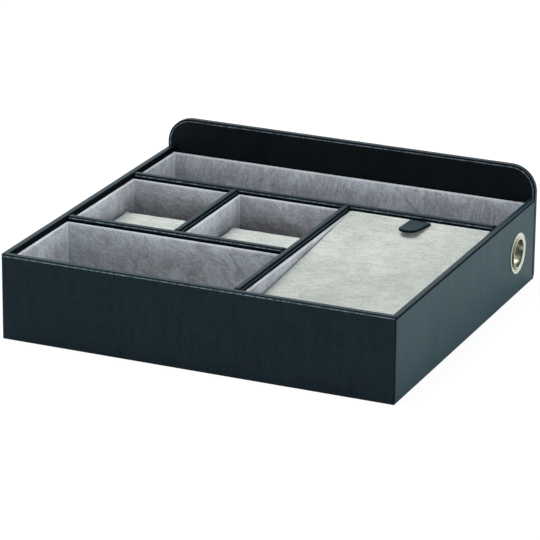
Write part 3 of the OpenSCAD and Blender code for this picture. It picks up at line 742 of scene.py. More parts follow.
rimZ = boxOf("front_cover")[1].z
outerFoot = boxOf("front_cover")[0].z
dividerFoot = boxOf("cross_divider_cover")[0].z
covers = {}
for node, nearKind, farKind, mitres in (
        ("front_cover", "outerFront", "innerFront", (True, True)),
        ("left_cover", "outerFront", "innerLeft", (True, False)),
        ("right_cover", "outerRight", "innerBay", (True, False)),
        ("rear_divider_cover", "rearFront", "innerFront", (False, False)),
        ("cross_divider_cover", "innerFront", "innerFront", (False, False)),
        ("bay_divider_cover", "innerFront", "innerRight", (False, False)),
        ("pocket_divider_cover", "innerFront", "innerRight", (False, False))):
    divides = "divider" in node
    section = wallSection(rimZ, nearKind, dividerFoot if divides else outerFoot, farKind, dividerFoot)
    covers[node] = leatherWall(node, *coverPlan(node), section, mitres, divides)
print("wall leather swept")


# Holes through the covers and cards: the grommet's bore and the cable notches

grommetHole = {"clearance": 0.15, "overrun": 3.0, "sides": 96}
notch = {"width": 36.0, "height": 18.0, "radius": 6.0, "overrun": 3.0, "arcSteps": 8}
ringLow, ringHigh = boxOf("grommet_ring")
washerLow, washerHigh = boxOf("grommet_washer")
ringCentre = (ringLow + ringHigh) / 2
grommet = {
    "bore": 10.5, "wall": 1.0, "flange": (ringHigh.y - ringLow.y) / 2 - 0.3, "proud": 1.3, "collar": 0.9,
    "boreReflectionShade": 0.55,
    "valley": 0.30, "rim": 0.50, "rimWidth": 0.9, "chamfer": 0.3, "sides": 144,
    "barrelRow": 1.2, "edgeShare": 0.7, "washerBevel": 0.2, "washerDarkening": 0.2,
    # Out from the collar's foot, up from the valley, and darkening as painted shade, negative on the shaded
    # side only
    "grooveRows": ((0.05, 0.12, -0.9), (0.25, 0.0, -1.0), (0.75, -0.02, -0.7), (1.2, 0.04, -0.15)),
    "rimRows": ((-0.3, -0.06), (0.1, 0.0)),
}


def boreCutter(fromX, toX):
    radius = grommet["bore"] + grommet["wall"] + grommetHole["clearance"]
    count = grommetHole["sides"]
    loops = [(x, ringCentre.y + radius * cos(2 * pi * i / count),
              ringCentre.z + radius * sin(2 * pi * i / count))
             for x in (fromX, toX) for i in range(count)]
    cutter = newPiece("bore", loops, loopFaces(2, count))
    faceOutwards(cutter)
    return cutter


def notchCutter(middle, fromY, toY):
    foot = dividerFoot - notch["overrun"]
    top, half, radius = dividerFoot + notch["height"], notch["width"] / 2, notch["radius"]
    outline = [(-half, foot), (half, foot)]
    for side, start in ((1, 0), (-1, 90)):
        for a in steps(start, start + 90, 90 / notch["arcSteps"]):
            outline.append((side * (half - radius) + radius * cos(radians(a)),
                            top - radius + radius * sin(radians(a))))
    points = [(middle + x, y, z) for y in (fromY, toY) for x, z in outline]
    cutter = newPiece("notch", points, loopFaces(2, len(outline)))
    faceOutwards(cutter)
    return cutter


notchMiddles = {opening["name"].split("_")[0]: (opening["box_m"][0][0] + opening["box_m"][1][0]) / 2 / mm
                for opening in frame["record"]["physics"]["openings"]
                if opening["name"].endswith("cable_notch")}


def cutBore(piece, node):
    low, high = boxOf(node)
    cut(piece, boreCutter(low.x - grommetHole["overrun"], high.x + grommetHole["overrun"]))


def cutNotches(piece, node, names=("left", "right", "bay")):
    low, high = boxOf(node)
    for name in names:
        cut(piece, notchCutter(notchMiddles[name], low.y - notch["overrun"], high.y + notch["overrun"]))


cutBore(covers["right_cover"], "right_cover")
cutNotches(covers["rear_divider_cover"], "rear_divider_cover")
for node, piece in covers.items():
    smooth(piece, 40)
    finishPiece(piece, None, "leather", "tray", node)
print("covers cut and dressed")


# Leather of the back panel: rings of its outline, from the front face round the rim to the back

backPanel = {
    "cornerRadius": 20.0, "footRadius": 2.0, "rimRadius": 0.6, "arcPoint": 0.3, "straightPoint": 3.0,
    "faceReach": 18.0, "leastRadius": 0.6, "puckerPitch": 1.45, "puckerDepth": 0.13,
    "puckerReach": 3.6, "wrinkleReach": 10.0, "wrinklePitch": 1.5, "wrinkleDepth": 0.05,
    "gather": (0.12, 0.88), "puckerFade": 1.2, "puckerSway": 1.6, "wrinkleRise": (2.2, 3.2),
    "wrinkleFade": 6.0, "wrinkleSway": 0.7, "crownShares": (0.25, 0.5, 0.75), "footPoints": 8,
}
backLow, backHigh = boxOf("back_cover")


# Points (x, z, share of a top corner's arc or None) of the panel's outline, drawn in
def backOutline(inset):
    panel = backPanel
    x0, x1, z0, z1 = backLow.x + inset, backHigh.x - inset, backLow.z + inset, backHigh.z - inset
    top = max(panel["cornerRadius"] - inset, panel["leastRadius"])
    foot = max(panel["footRadius"] - inset, panel["leastRadius"] / 2)
    points = []
    corners = ((x1 - foot, z0 + foot, foot, -90), (x1 - top, z1 - top, top, 0),
               (x0 + top, z1 - top, top, 90), (x0 + foot, z0 + foot, foot, 180))
    ends = []
    for x, z, radius, start in corners:
        isTop = radius == top
        count = round(panel["cornerRadius"] * pi / 2 / panel["arcPoint"]) if isTop else panel["footPoints"]
        arc = []
        for i in range(count + 1):
            a = radians(start + 90 * i / count)
            arc.append((x + radius * cos(a), z + radius * sin(a), i / count if isTop else None))
        ends.append(arc)
    lengths = (backHigh.z - backLow.z, backHigh.x - backLow.x) * 2
    for arc, following, length in zip(ends, ends[1:] + ends[:1], lengths):
        points += arc
        count = round(length / panel["straightPoint"])
        a, b = arc[-1], following[0]
        points += [(a[0] + (b[0] - a[0]) * i / count, a[1] + (b[1] - a[1]) * i / count, None)
                   for i in range(1, count)]
    return points


def cornerGathers(x, inset, arcShare):        # pleats across the rim, and fine lines along the arc
    panel = backPanel
    turnsOf = panel["cornerRadius"] * pi / 2 / panel["puckerPitch"]
    jitter = noise.noise(Vector((arcShare * 9, x / 200, 0)))
    pleat = 0.5 + 0.5 * cos(2 * pi * (turnsOf * arcShare + panel["puckerSway"] * jitter))
    low, high = panel["gather"]
    middle = smoothStep(arcShare, 0, low) * (1 - smoothStep(arcShare, high, 1))
    fading = smoothStep(inset, panel["puckerFade"], panel["puckerReach"])
    sink = panel["puckerDepth"] * pleat * middle * (1 - fading)
    line = 0.5 + 0.5 * cos(2 * pi * (inset / panel["wrinklePitch"] + panel["wrinkleSway"] * jitter))
    fading = smoothStep(inset, panel["wrinkleFade"], panel["wrinkleReach"])
    window = smoothStep(inset, *panel["wrinkleRise"]) * (1 - fading)
    return sink + panel["wrinkleDepth"] * line ** 4 * middle * window


def backLeather():
    panel = backPanel
    thick = backHigh.y - backLow.y
    radius = panel["rimRadius"]
    rows = sideRows("panelFront", radius, panel["faceReach"], panel["wrinkleReach"])
    front = [(drop, inset, n, *rest) for inset, drop, n, *rest in reversed(rows)]
    back = [(drop, thick - inset, (-n[0], n[1]), *rest)
            for inset, drop, n, *rest in sideRows("panelFront", radius, panel["faceReach"])]
    crown = [(0, radius + (thick - 2 * radius) * s, (0, 1), wall["rimCrown"] * (2 * s - 1) ** 2, 0, 0)
             for s in panel["crownShares"]]
    profile = front + crown + back
    points, masks = [], []
    for inset, depth, normal, press, dark, worn in profile:
        for x, z, arcShare in backOutline(inset):
            spot = Vector((x, backLow.y + depth, z))
            sink = press * (1 + wall["pressWander"] * noise.noise(spot / wall["wanderSize"]))
            if normal[0]:
                sink += wall["faceWave"] * (0.5 + noise.noise(spot / wall["waveSize"]))
            if arcShare is not None:
                sink += cornerGathers(x, inset, arcShare)
            sink = min(sink, sinkRoom(depth, inset, normal))
            moved = inset + normal[1] * sink
            point = backPoint(x, z, inset, moved)
            points.append((point[0], backLow.y + depth - normal[0] * sink, point[1]))
            masks.append((0, dark, worn, 0))
    count = len(points) // len(profile)
    piece = newPiece("back_cover_leather", points, loopFaces(len(profile), count))
    faceOutwards(piece)
    dressLeather(piece, masks, smoothLeather)
    core = []
    for depth in (wall["leather"], wall["leather"] + wall["board"]):
        core += [(x, backLow.y + depth, z) for x, z, s in backOutline(wall["leather"])]
    cavity = newPiece("cavity", core, loopFaces(2, count))
    faceOutwards(cavity)
    return piece, cavity


def backPoint(x, z, inset, moved):        # the point drawn in by the rest of its sink
    middle = Vector(((backLow.x + backHigh.x) / 2, (backLow.z + backHigh.z) / 2))
    half = (backHigh - backLow) / 2
    radius = backPanel["cornerRadius"]
    dx, dz = x - middle.x, z - middle.y
    over = Vector((max(abs(dx) - (half.x - radius), 0), max(abs(dz) - (half.z - radius), 0)))
    if dz < 0:
        over.y = 0 if abs(dz) < half.z - backPanel["footRadius"] else over.y
    if over.length < 1e-6:
        return x, z
    away = over.normalized() * (moved - inset)
    return x - away.x * (1 if dx > 0 else -1), z - away.y * (1 if dz > 0 else -1)


def joinInto(piece, other):        # adds the other mesh, turned inside out, as an inner hollow
    faceOutwards(other, inward=True)
    shape = bmesh.new()
    shape.from_mesh(piece.data)
    shape.from_mesh(other.data)
    shape.to_mesh(piece.data)
    shape.free()
    bpy.data.objects.remove(other)


backCover, backCavity = backLeather()
joinInto(backCover, backCavity)
smooth(backCover, 40)
finishPiece(backCover, None, "leather", "tray", "back_cover")
print("back panel leather made")


# Slabs of cloth: cards, felt, lid and pads

def endTree(tree, geometry, material, put):        # smooth, real and dressed
    smoothed = addNode(tree, "GeometryNodeSetShadeSmooth", {"Geometry": geometry}).outputs[0]
    real = addNode(tree, "GeometryNodeRealizeInstances", {"Geometry": smoothed}).outputs[0]
    dressed = addNode(tree, "GeometryNodeSetMaterial", {"Geometry": real, "Material": material})
    tree.links.new(dressed.outputs[0], put[0])
    return tree


def slabTree():        # Geometry Nodes tree for a slab with rounded edges and wrinkled faces
    sizes = [("Size", "Vector", (0.1, 0.1, 0.002)), ("Centre", "Vector", (0.0, 0.0, 0.0)),
             ("Cells across", "Int", 10), ("Cells deep", "Int", 10), ("Cells high", "Int", 10),
             ("Edge radius", "Float", 0.0005), ("Edge cells", "Int", 3), ("Slope", "Float", 0.0),
             ("Wrinkle depth", "Float", 0.0001), ("Wrinkle size", "Float", 0.02),
             ("Edge band", "Float", 0.0012), ("Seed", "Float", 0.0), ("Material", "Material")]
    tree, given, put = makeGroup("suedeSlab", sizes, [("Geometry", "Geometry")], "GeometryNodeTree")
    cells = [given[label] for label in ("Cells across", "Cells deep", "Cells high")]
    cube = addNode(tree, "GeometryNodeMeshCube", {
        "Size": (1.0, 1.0, 1.0), "Vertices X": calc(tree, "ADD", cells[0], 1.0),
        "Vertices Y": calc(tree, "ADD", cells[1], 1.0),
        "Vertices Z": calc(tree, "ADD", cells[2], 1.0)}).outputs[0]
    place = addNode(tree, "GeometryNodeInputPosition").outputs[0]
    share = separate(tree, vectorCalc(tree, "ADD", place, (0.5, 0.5, 0.5)))
    size = separate(tree, given["Size"])
    radius, edgeCells = given["Edge radius"], given["Edge cells"]
    spaced = []
    for axis in range(3):        # the outermost cells of each side share the rounded edge
        index = calc(tree, "MULTIPLY", share[axis], cells[axis])
        near = calc(tree, "MINIMUM", calc(tree, "DIVIDE", index, edgeCells), 1.0)
        far = calc(tree, "DIVIDE", calc(tree, "SUBTRACT", calc(tree, "ADD", index, edgeCells),
                                        cells[axis]), edgeCells)
        far = calc(tree, "MAXIMUM", far, 0.0)
        inner = calc(tree, "SUBTRACT", cells[axis], calc(tree, "MULTIPLY", edgeCells, 2.0))
        middle = calc(tree, "DIVIDE", calc(tree, "SUBTRACT", index, edgeCells), inner)
        middle = calc(tree, "MINIMUM", calc(tree, "MAXIMUM", middle, 0.0), 1.0)
        flat = calc(tree, "SUBTRACT", size[axis], calc(tree, "MULTIPLY", radius, 2.0))
        edges = calc(tree, "MULTIPLY", calc(tree, "ADD", near, far), radius)
        along = calc(tree, "MULTIPLY_ADD", middle, flat, edges)
        spaced.append(calc(tree, "MULTIPLY_ADD", size[axis], -0.5, along))
    outer = combine(tree, *spaced)
    radii = combine(tree, radius, radius, radius)
    half = vectorCalc(tree, "MULTIPLY", given["Size"], (0.5, 0.5, 0.5))
    inside = vectorCalc(tree, "SUBTRACT", half, radii)
    core = vectorCalc(tree, "MINIMUM", outer, inside)
    core = vectorCalc(tree, "MAXIMUM", core, vectorCalc(tree, "MULTIPLY", inside, (-1.0, -1.0, -1.0)))
    away = vectorCalc(tree, "NORMALIZE", vectorCalc(tree, "SUBTRACT", outer, core))
    rounded = vectorCalc(tree, "ADD", core, vectorCalc(tree, "MULTIPLY", away, radii))
    parts = separate(tree, rounded)
    lift = calc(tree, "MULTIPLY", parts[1], given["Slope"])
    tilted = combine(tree, parts[0], parts[1], calc(tree, "ADD", parts[2], lift))
    # The edge value is 1 along the slab's edges and fades over the band beside them; the suede paints a
    # highlight along them with it
    depths = separate(tree, vectorCalc(tree, "SUBTRACT", half, vectorCalc(tree, "ABSOLUTE", rounded)))
    nears = [calc(tree, "MINIMUM", calc(tree, "DIVIDE", depths[axis], given["Edge band"]), 1.0)
             for axis in range(3)]
    total = calc(tree, "ADD", calc(tree, "ADD", nears[0], nears[1]), nears[2])
    edge = calc(tree, "MINIMUM", calc(tree, "MAXIMUM", calc(tree, "SUBTRACT", 2.0, total), 0.0), 1.0)
    marked = addNode(tree, "GeometryNodeStoreNamedAttribute", {
        "Geometry": cube, "Name": "edge", "Value": edge}, data_type="FLOAT", domain="POINT").outputs[0]
    shaped = addNode(tree, "GeometryNodeSetPosition", {
        "Geometry": marked, "Position": vectorCalc(tree, "ADD", tilted, given["Centre"])}).outputs[0]
    # The wrinkles only press inwards, so a slab never grows past its size
    spot = vectorCalc(tree, "ADD", addNode(tree, "GeometryNodeInputPosition").outputs[0],
                      combine(tree, given["Seed"]))
    swell = noiseAt(tree, spot, calc(tree, "DIVIDE", 1.0, given["Wrinkle size"]), 3.0, 0.5, 0.5)
    depth = calc(tree, "MULTIPLY", calc(tree, "SUBTRACT", swell, 0.8), given["Wrinkle depth"])
    push = scaled(tree, addNode(tree, "GeometryNodeInputNormal").outputs[0], depth)
    wrinkled = addNode(tree, "GeometryNodeSetPosition", {
        "Geometry": shaped, "Offset": push}).outputs[0]
    return endTree(tree, wrinkled, given["Material"], put)


def runTree(name, tree, **inputs):        # one plain mesh from a Geometry Nodes tree
    piece = newPiece(name, [(0, 0, 0)], [])
    change = piece.modifiers.new("build", "NODES")
    change.node_group = tree
    keys = {item.name: item.identifier for item in tree.interface.items_tree}
    for key, value in inputs.items():
        change[keys[labelOf(key)]] = value
    settle(piece)
    return piece


suedeSlab = slabTree()
card = {"cell": 1.6, "edge": 0.55, "edgeCells": 3, "wrinkle": 0.22, "wrinkleSize": 22.0,
        "seedStep": 0.03}


def slab(name, low, high, material, seed, look=card, slope=0.0):
    size = high - low
    counts = [max(2, round(length / look["cell"])) + 2 * look["edgeCells"] for length in size]
    return runTree(name, suedeSlab, size=size * mm, centre=(low + high) / 2 * mm,
                   cellsAcross=counts[0], cellsDeep=counts[1], cellsHigh=counts[2],
                   edgeRadius=look["edge"] * mm, edgeCells=look["edgeCells"], slope=slope,
                   wrinkleDepth=look["wrinkle"] * mm, wrinkleSize=look["wrinkleSize"] * mm,
                   seed=float(seed), material=material)


# Cloth coordinates for the suede: along and up each card, its brushing angle and its painted light, a
# brightening for the light each card catches
def layCloth(piece, thinAxis, seed, lay, nap):
    first, second = {"x": (1, 2), "y": (0, 2), "z": (0, 1)}[thinAxis]
    values = []
    for vertex in piece.data.vertices:
        values += [vertex.co[first], vertex.co[second], seed * card["seedStep"]]
    layer = piece.data.attributes.new("cloth", "FLOAT_VECTOR", "POINT")
    layer.data.foreach_set("vector", values)
    setMask(piece, "lay", [radians(lay)] * len(piece.data.vertices))
    setMask(piece, "nap", [nap] * len(piece.data.vertices))


rooms = ("front_tray", "left_pocket", "right_pocket", "rear_tray", "bay")
sides = ("front", "back", "left", "right")
brushing = {        # angle of the strokes on each kind of card, and its painted light: how much brighter it is painted
    "front": (40, 0.0), "back": (40, 0.0), "left": (70, 1.0), "right": (70, 0.3),
    "rear_tray_liner_back": (90, 0.3), "bay_liner_left": (70, 0.2), "floor": (0, 0.0),
    "lid": (-14, 0.0), "pad": (-6, 0.7),
}
for index, node in enumerate(f"{room}_liner_{side}" for room in rooms for side in sides):
    piece = slab(node + "_suede", *boxOf(node), suedeGrey, 0.7 * index)
    if node == "rear_tray_liner_right":
        cutBore(piece, node)
    if node in ("left_pocket_liner_back", "right_pocket_liner_back", "bay_liner_back"):
        cutNotches(piece, node, [node.split("_")[0]])
    if node == "rear_tray_liner_front":
        cutNotches(piece, node)
    smooth(piece, 50)
    side = node.split("_")[-1]
    layCloth(piece, "x" if side in ("left", "right") else "y", index, *brushing.get(node, brushing[side]))
    finishPiece(piece, None, "suede_grey", "tray", node)
for index, room in enumerate(("front_tray", "rear_tray", "bay")):
    piece = slab(room + "_floor_suede", *boxOf(room + "_floor"), suedePale, 20 + index)
    layCloth(piece, "z", 20 + index, *brushing["floor"])
    finishPiece(piece, None, "suede_pale", "tray", room + "_floor")
feltLook = {"cell": 3.0, "edge": 0.12, "edgeCells": 2, "wrinkle": 0.0, "wrinkleSize": 10.0}
finishPiece(slab("base_felt_sheet", *boxOf("base_felt"), felt, 30, feltLook), None, "felt", "tray",
            "base_felt")
print("cards and felt laid")


# Lid: suede wrapped round a board, turned in underneath

lid = {"board": 2.5, "suede": 0.7, "turnIn": 12.0, "cell": 1.5, "edge": 0.8, "edgeCells": 4,
       "wrinkle": 0.30, "wrinkleSize": 26.0, "clearance": 0.02}
lidLow, lidHigh = boxOf("lid_suede")
lidThick = lid["board"] + 2 * lid["suede"]
lidSlope = (lidHigh.z - lidLow.z - lidThick) / (lidHigh.y - lidLow.y)


def lidHeight(y):        # top of the lid at this depth
    return lidHigh.z - lidSlope * (lidHigh.y - y)


def slopedBlock(inset, drop, thick):        # cutter that follows the lid's slope
    x0, x1, y0, y1 = lidLow.x + inset, lidHigh.x - inset, lidLow.y + inset, lidHigh.y - inset
    corners = ((x0, y0), (x1, y0), (x1, y1), (x0, y1))
    points = [(x, y, lidHeight(y) - d) for d in (drop, drop + thick) for x, y in corners]
    block = newPiece("block", points, loopFaces(2, 4))
    faceOutwards(block)
    return block


middleY = (lidLow.y + lidHigh.y) / 2
flatLow = Vector((lidLow.x, lidLow.y, lidHeight(middleY) - lidThick))
flatHigh = Vector((lidHigh.x, lidHigh.y, lidHeight(middleY)))
lidSuede = slab("lid_suede_wrap", flatLow, flatHigh, suedePale, 31, lid, lidSlope)
cut(lidSuede, slopedBlock(lid["suede"] - lid["clearance"], lid["suede"], lid["board"]))
cut(lidSuede, slopedBlock(lid["turnIn"], lid["suede"] + lid["board"] / 2, lidThick))
smooth(lidSuede, 50)
layCloth(lidSuede, "z", 31, *brushing["lid"])
finishPiece(lidSuede, None, "suede_pale", "lid", "lid_suede")
print("lid wrapped")


# Pull tab: a folded strip of leather sewn to the lid's back edge

tab = {
    "width": 17.0, "endWidth": 14.2, "rootLength": 4.6, "length": 29.3, "thickness": 1.9,
    "curl": 1.6, "lift": 0.3, "inset": 4.0, "offset": 2.0, "turn": 3.5, "rest": 0.05,
    "rootThin": 0.35, "edge": 0.35, "groove": 0.16, "point": 0.8, "backRadius": 1.3,
    "trim": 0.9, "leastRadius": 0.4, "tipArc": 2.4, "tipShares": (0.18, 0.36, 0.54, 0.72, 0.88),
    "bendStart": 4.2, "bendEnd": 6.2, "darkLow": 0.12, "darkHigh": 0.99,
    "foldBefore": 1.0, "foldAfter": 3, "thinAfter": 1, "leastHalf": 0.02, "darkInset": 0.5,
    "bendHeight": 60,
}
tabBackY = lidHigh.y - tab["inset"]
tabTurn = Matrix.Rotation(-radians(tab["turn"]), 4, "Z")
tabOrigin = Vector(((lidLow.x + lidHigh.x) / 2 + tab["offset"], tabBackY, 0))


def tabPlace(across, reach, height):        # reach is measured forwards from the tab's back edge
    return tabOrigin + tabTurn @ Vector((across, -reach, height))


def tabHalfWidth(reach):
    endRadius = tab["endWidth"] / 2
    start = tab["length"] - endRadius
    if reach <= start:
        return tab["width"] / 2 + (endRadius - tab["width"] / 2) * reach / start
    return sqrt(max(endRadius ** 2 - (reach - start) ** 2, 0))


def tabHeights(across, reach):        # underside and top of the strip
    y = tabPlace(across, reach, 0).y
    root = lidHeight(y) + tab["rest"]
    foldY = tabPlace(0, tab["rootLength"], 0).y
    share = max(reach - tab["rootLength"], 0) / (tab["length"] - tab["rootLength"])
    flap = lidHeight(foldY) + tab["lift"] + tab["curl"] * share ** 2
    low = root + (flap - root) * smoothStep(
        reach, tab["rootLength"] - tab["foldBefore"], tab["rootLength"] + tab["foldAfter"])
    thin = tab["rootThin"] * (1 - smoothStep(reach, 0, tab["rootLength"] + tab["thinAfter"]))
    return low, low + tab["thickness"] - thin


def tabOutline(inset):        # one side from back to tip, then the other side back
    tip = tab["length"] - inset
    back = tab["backRadius"] - inset if inset < tab["backRadius"] else tab["leastRadius"]
    tipArc = tab["tipArc"]
    reaches = [inset + back * (1 - cos(a)) for a in steps(0, pi / 2, pi / 12)]
    reaches += steps(reaches[-1] + tab["point"], tip - tipArc, tab["point"])
    reaches += [tip - tipArc * (1 - s) ** 2 for s in tab["tipShares"]]
    endRadius = tab["endWidth"] / 2
    start = tab["length"] - endRadius
    side = []
    for reach in reaches:
        if reach <= start:
            half = tabHalfWidth(reach) - inset
            near = back - min(reach - inset, back)
            half -= back - sqrt(back ** 2 - near ** 2)
        else:
            half = sqrt(max((endRadius - inset) ** 2 - (reach - start) ** 2, 0))
        side.append((max(half, tab["leastHalf"]), reach))
    return side + [(0, tip)] + [(-x, reach) for x, reach in reversed(side)]


def pullTab():
    half = tab["edge"]
    layers = []        # inset, share of the thickness from the underside
    layers += [(tab["trim"], 0)]
    layers += [(half * (1 - sin(a)), 0.5 * half * (1 - cos(a))) for a in (0, pi / 6, pi / 3, pi / 2)]
    layers += [(tab["groove"] * 0.5, 0.44), (tab["groove"], 0.5), (tab["groove"] * 0.5, 0.56)]
    layers += [(half * (1 - sin(a)), 1 - 0.5 * half * (1 - cos(a))) for a in (pi / 2, pi / 3, pi / 6, 0)]
    layers += [(tab["trim"], 1)]
    points, masks = [], []
    for inset, share in layers:
        for across, reach in tabOutline(inset):
            low, high = tabHeights(across, reach)
            points.append(tabPlace(across, reach, low + (high - low) * share))
            isDark = inset < tab["darkInset"] and tab["darkLow"] < share < tab["darkHigh"]
            masks.append((0, isDark, 0, 0))
    count = len(points) // len(layers)
    faces = loopFaces(len(layers), count, closedEnds=False)
    pairs = (count - 1) // 2
    for base in (0, (len(layers) - 1) * count):        # the strip's middle, closed rung by rung
        for k in range(pairs - 1):
            faces.append((base + k, base + k + 1, base + count - 2 - k, base + count - 1 - k))
        faces.append((base + pairs - 1, base + pairs, base + pairs + 1))
    piece = newPiece("pull_tab_strip", points, faces)
    faceOutwards(piece)
    dressLeather(piece, masks, smoothLeather)
    smooth(piece, 50)
    finishPiece(piece, None, "leather", None, "pull_tab_root", "pull_tab_flap")
    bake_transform(piece)


pullTab()


# Stitches that hold the tab's root, one Geometry Nodes row

stitchRow = {"pitch": 2.6, "length": 1.9, "radius": 0.34, "reach": 1.4, "count": 5, "tilt": 6.0,
             "pathPoints": 12, "ringPoints": 10, "arch": (0.86, 0.07), "sunk": 0.25}


def stitchTree():
    tree, given, put = makeGroup("stitchRow", [
        ("Start", "Vector"), ("End", "Vector"), ("Count", "Int", 5), ("Length", "Float", 0.002),
        ("Radius", "Float", 0.0003), ("Tilt", "Float", 0.0), ("Material", "Material"),
    ], [("Geometry", "Geometry")], "GeometryNodeTree")
    row = addNode(tree, "GeometryNodeMeshLine", {
        "Count": given["Count"], "Start Location": given["Start"], "Offset": given["End"]},
        mode="END_POINTS").outputs[0]
    halfLength = calc(tree, "MULTIPLY", given["Length"], 0.5)
    path = addNode(tree, "GeometryNodeCurveQuadraticBezier", {
        "Resolution": stitchRow["pathPoints"],
        "Start": combine(tree, calc(tree, "MULTIPLY", halfLength, -1.0)),
        "Middle": combine(tree, 0.0, 0.0, given["Radius"]), "End": combine(tree, halfLength)}).outputs[0]
    ring = addNode(tree, "GeometryNodeCurvePrimitiveCircle", {
        "Resolution": stitchRow["ringPoints"], "Radius": given["Radius"]}).outputs[0]
    along = addNode(tree, "GeometryNodeSplineParameter").outputs["Factor"]
    span, start = stitchRow["arch"]
    arch = calc(tree, "SINE", calc(tree, "MULTIPLY_ADD", along, pi * span, pi * start))
    bulge = calc(tree, "POWER", arch, 0.5)
    swollen = addNode(tree, "GeometryNodeSetCurveRadius", {"Curve": path, "Radius": bulge}).outputs[0]
    body = addNode(tree, "GeometryNodeCurveToMesh", {
        "Curve": swollen, "Profile Curve": ring, "Scale": bulge, "Fill Caps": True})
    turn = combine(tree, 0.0, 0.0, given["Tilt"])
    copies = addNode(tree, "GeometryNodeInstanceOnPoints", {
        "Points": row, "Instance": body.outputs[0], "Rotation": turn}).outputs[0]
    return endTree(tree, copies, given["Material"], put)


def stitches():
    row = stitchRow
    half = row["pitch"] * (row["count"] - 1) / 2
    ends = []
    for across in (-half, half):
        top = tabHeights(across, row["reach"])[1]
        ends.append(tabPlace(across, row["reach"], top - row["radius"] * row["sunk"]) * mm)
    piece = runTree("pull_tab_stitches", stitchTree(), start=ends[0], end=ends[1], count=row["count"],
                    length=row["length"] * mm, radius=row["radius"] * mm,
                    tilt=radians(row["tilt"] - tab["turn"]), material=thread)
    faceOutwards(piece)
    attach(piece, "lid")


stitches()
print("pull tab sewn")


# Cable grommet: a spun ring with a rolled collar, and the washer behind the wall

def arcPoints(x, y, radius, start, end, size=9):
    return [(x + radius * cos(radians(a)), y + radius * sin(radians(a))) for a in steps(start, end, size)]


# A ring about the grommet's axis; the profile is distance from the axis, height off the wall and darkening,
# which paints shade and the bore's dark reflection
def spun(name, profile, faceX):
    count = grommet["sides"]
    points, masks = [], []
    for i in range(count):
        a = 2 * pi * i / count
        shaded = 0.5 - 0.5 * cos(a)        # painted shade: the groove is darker on the side away from the panel
        for r, h, darkening in profile:
            points.append((faceX + h, ringCentre.y + r * cos(a), ringCentre.z + r * sin(a)))
            masks.append(darkening if darkening >= 0 else -darkening * shaded ** 2)
    size = len(profile)
    faces = [(i * size + k, i * size + (k + 1) % size, (i + 1) % count * size + (k + 1) % size,
              (i + 1) % count * size + k) for i in range(count) for k in range(size)]
    piece = newPiece(name, points, faces)
    faceOutwards(piece)
    setMask(piece, "darkening", masks)
    smooth(piece, 40)
    return piece


def makeGrommet():
    g = grommet
    faceX = ringHigh.x - g["proud"]
    length = faceX - ringLow.x
    barrel, collarTop = g["bore"] + g["wall"], g["proud"] - g["collar"]
    collarX = g["bore"] + g["collar"]
    foot = collarX + g["collar"]
    rimIn = g["flange"] - g["rimWidth"]
    # Painted reflection: the bore is darkened for the dark tray it reflects
    profile = [(g["bore"], h, g["boreReflectionShade"])
               for h in steps(g["chamfer"] - length, collarTop - 0.4, g["barrelRow"])]
    # Painted shade on the shaded side of the collar's outer half
    profile += [(r, h, 0.0 if r < collarX + 0.3 else -1.0)
                for r, h in arcPoints(collarX, collarTop, g["collar"] - 0.02, 180, 0)]
    profile += [(foot + out, g["valley"] + up, darkening) for out, up, darkening in g["grooveRows"]]
    profile += [(rimIn + out, g["rim"] + up, 0.0) for out, up in g["rimRows"]]
    edge = g["rim"] * g["edgeShare"]
    profile += [(r, h, 0.0) for r, h in arcPoints(g["flange"] - edge, g["rim"] - edge, edge, 90, 0)]
    profile += [(g["flange"] - 0.02, 0.0, 0.0), (barrel, 0.0, 0.0), (barrel, g["chamfer"] - length, 0.0),
                (barrel - g["chamfer"], -length, 0.0), (g["bore"] + g["chamfer"], -length, 0.0)]
    finishPiece(spun("grommet_ring_metal", profile, faceX), nickel, "nickel", "tray", "grommet_ring")
    hole, rim = barrel + grommetHole["clearance"], (washerHigh.y - washerLow.y) / 2
    thick, bevel = washerHigh.x - washerLow.x, g["washerBevel"]
    back = [(hole, bevel), (hole + bevel, 0), (rim - bevel, 0), (rim, bevel), (rim, thick - bevel),
            (rim - bevel, thick), (hole + bevel, thick), (hole, thick - bevel)]
    # The washer is darkened evenly
    finishPiece(spun("grommet_washer_metal", [(r, h, g["washerDarkening"]) for r, h in back], washerLow.x),
                nickel, "nickel", "tray", "grommet_washer")


makeGrommet()
print("grommet spun")


# Pocket pads: suede over a thin foam, swollen by a short cloth simulation

pad = {"cell": 2.2, "edge": 1.0, "edgeCells": 3, "wrinkle": 0.5, "wrinkleSize": 24.0, "shrink": 0.5,
       "voxel": 1.3, "pressure": 4.0, "frames": 20, "cap": 0.9, "thickness": (3.1, 3.8),
       "pinnedHeight": 0.9, "quality": 5, "mass": 0.05}


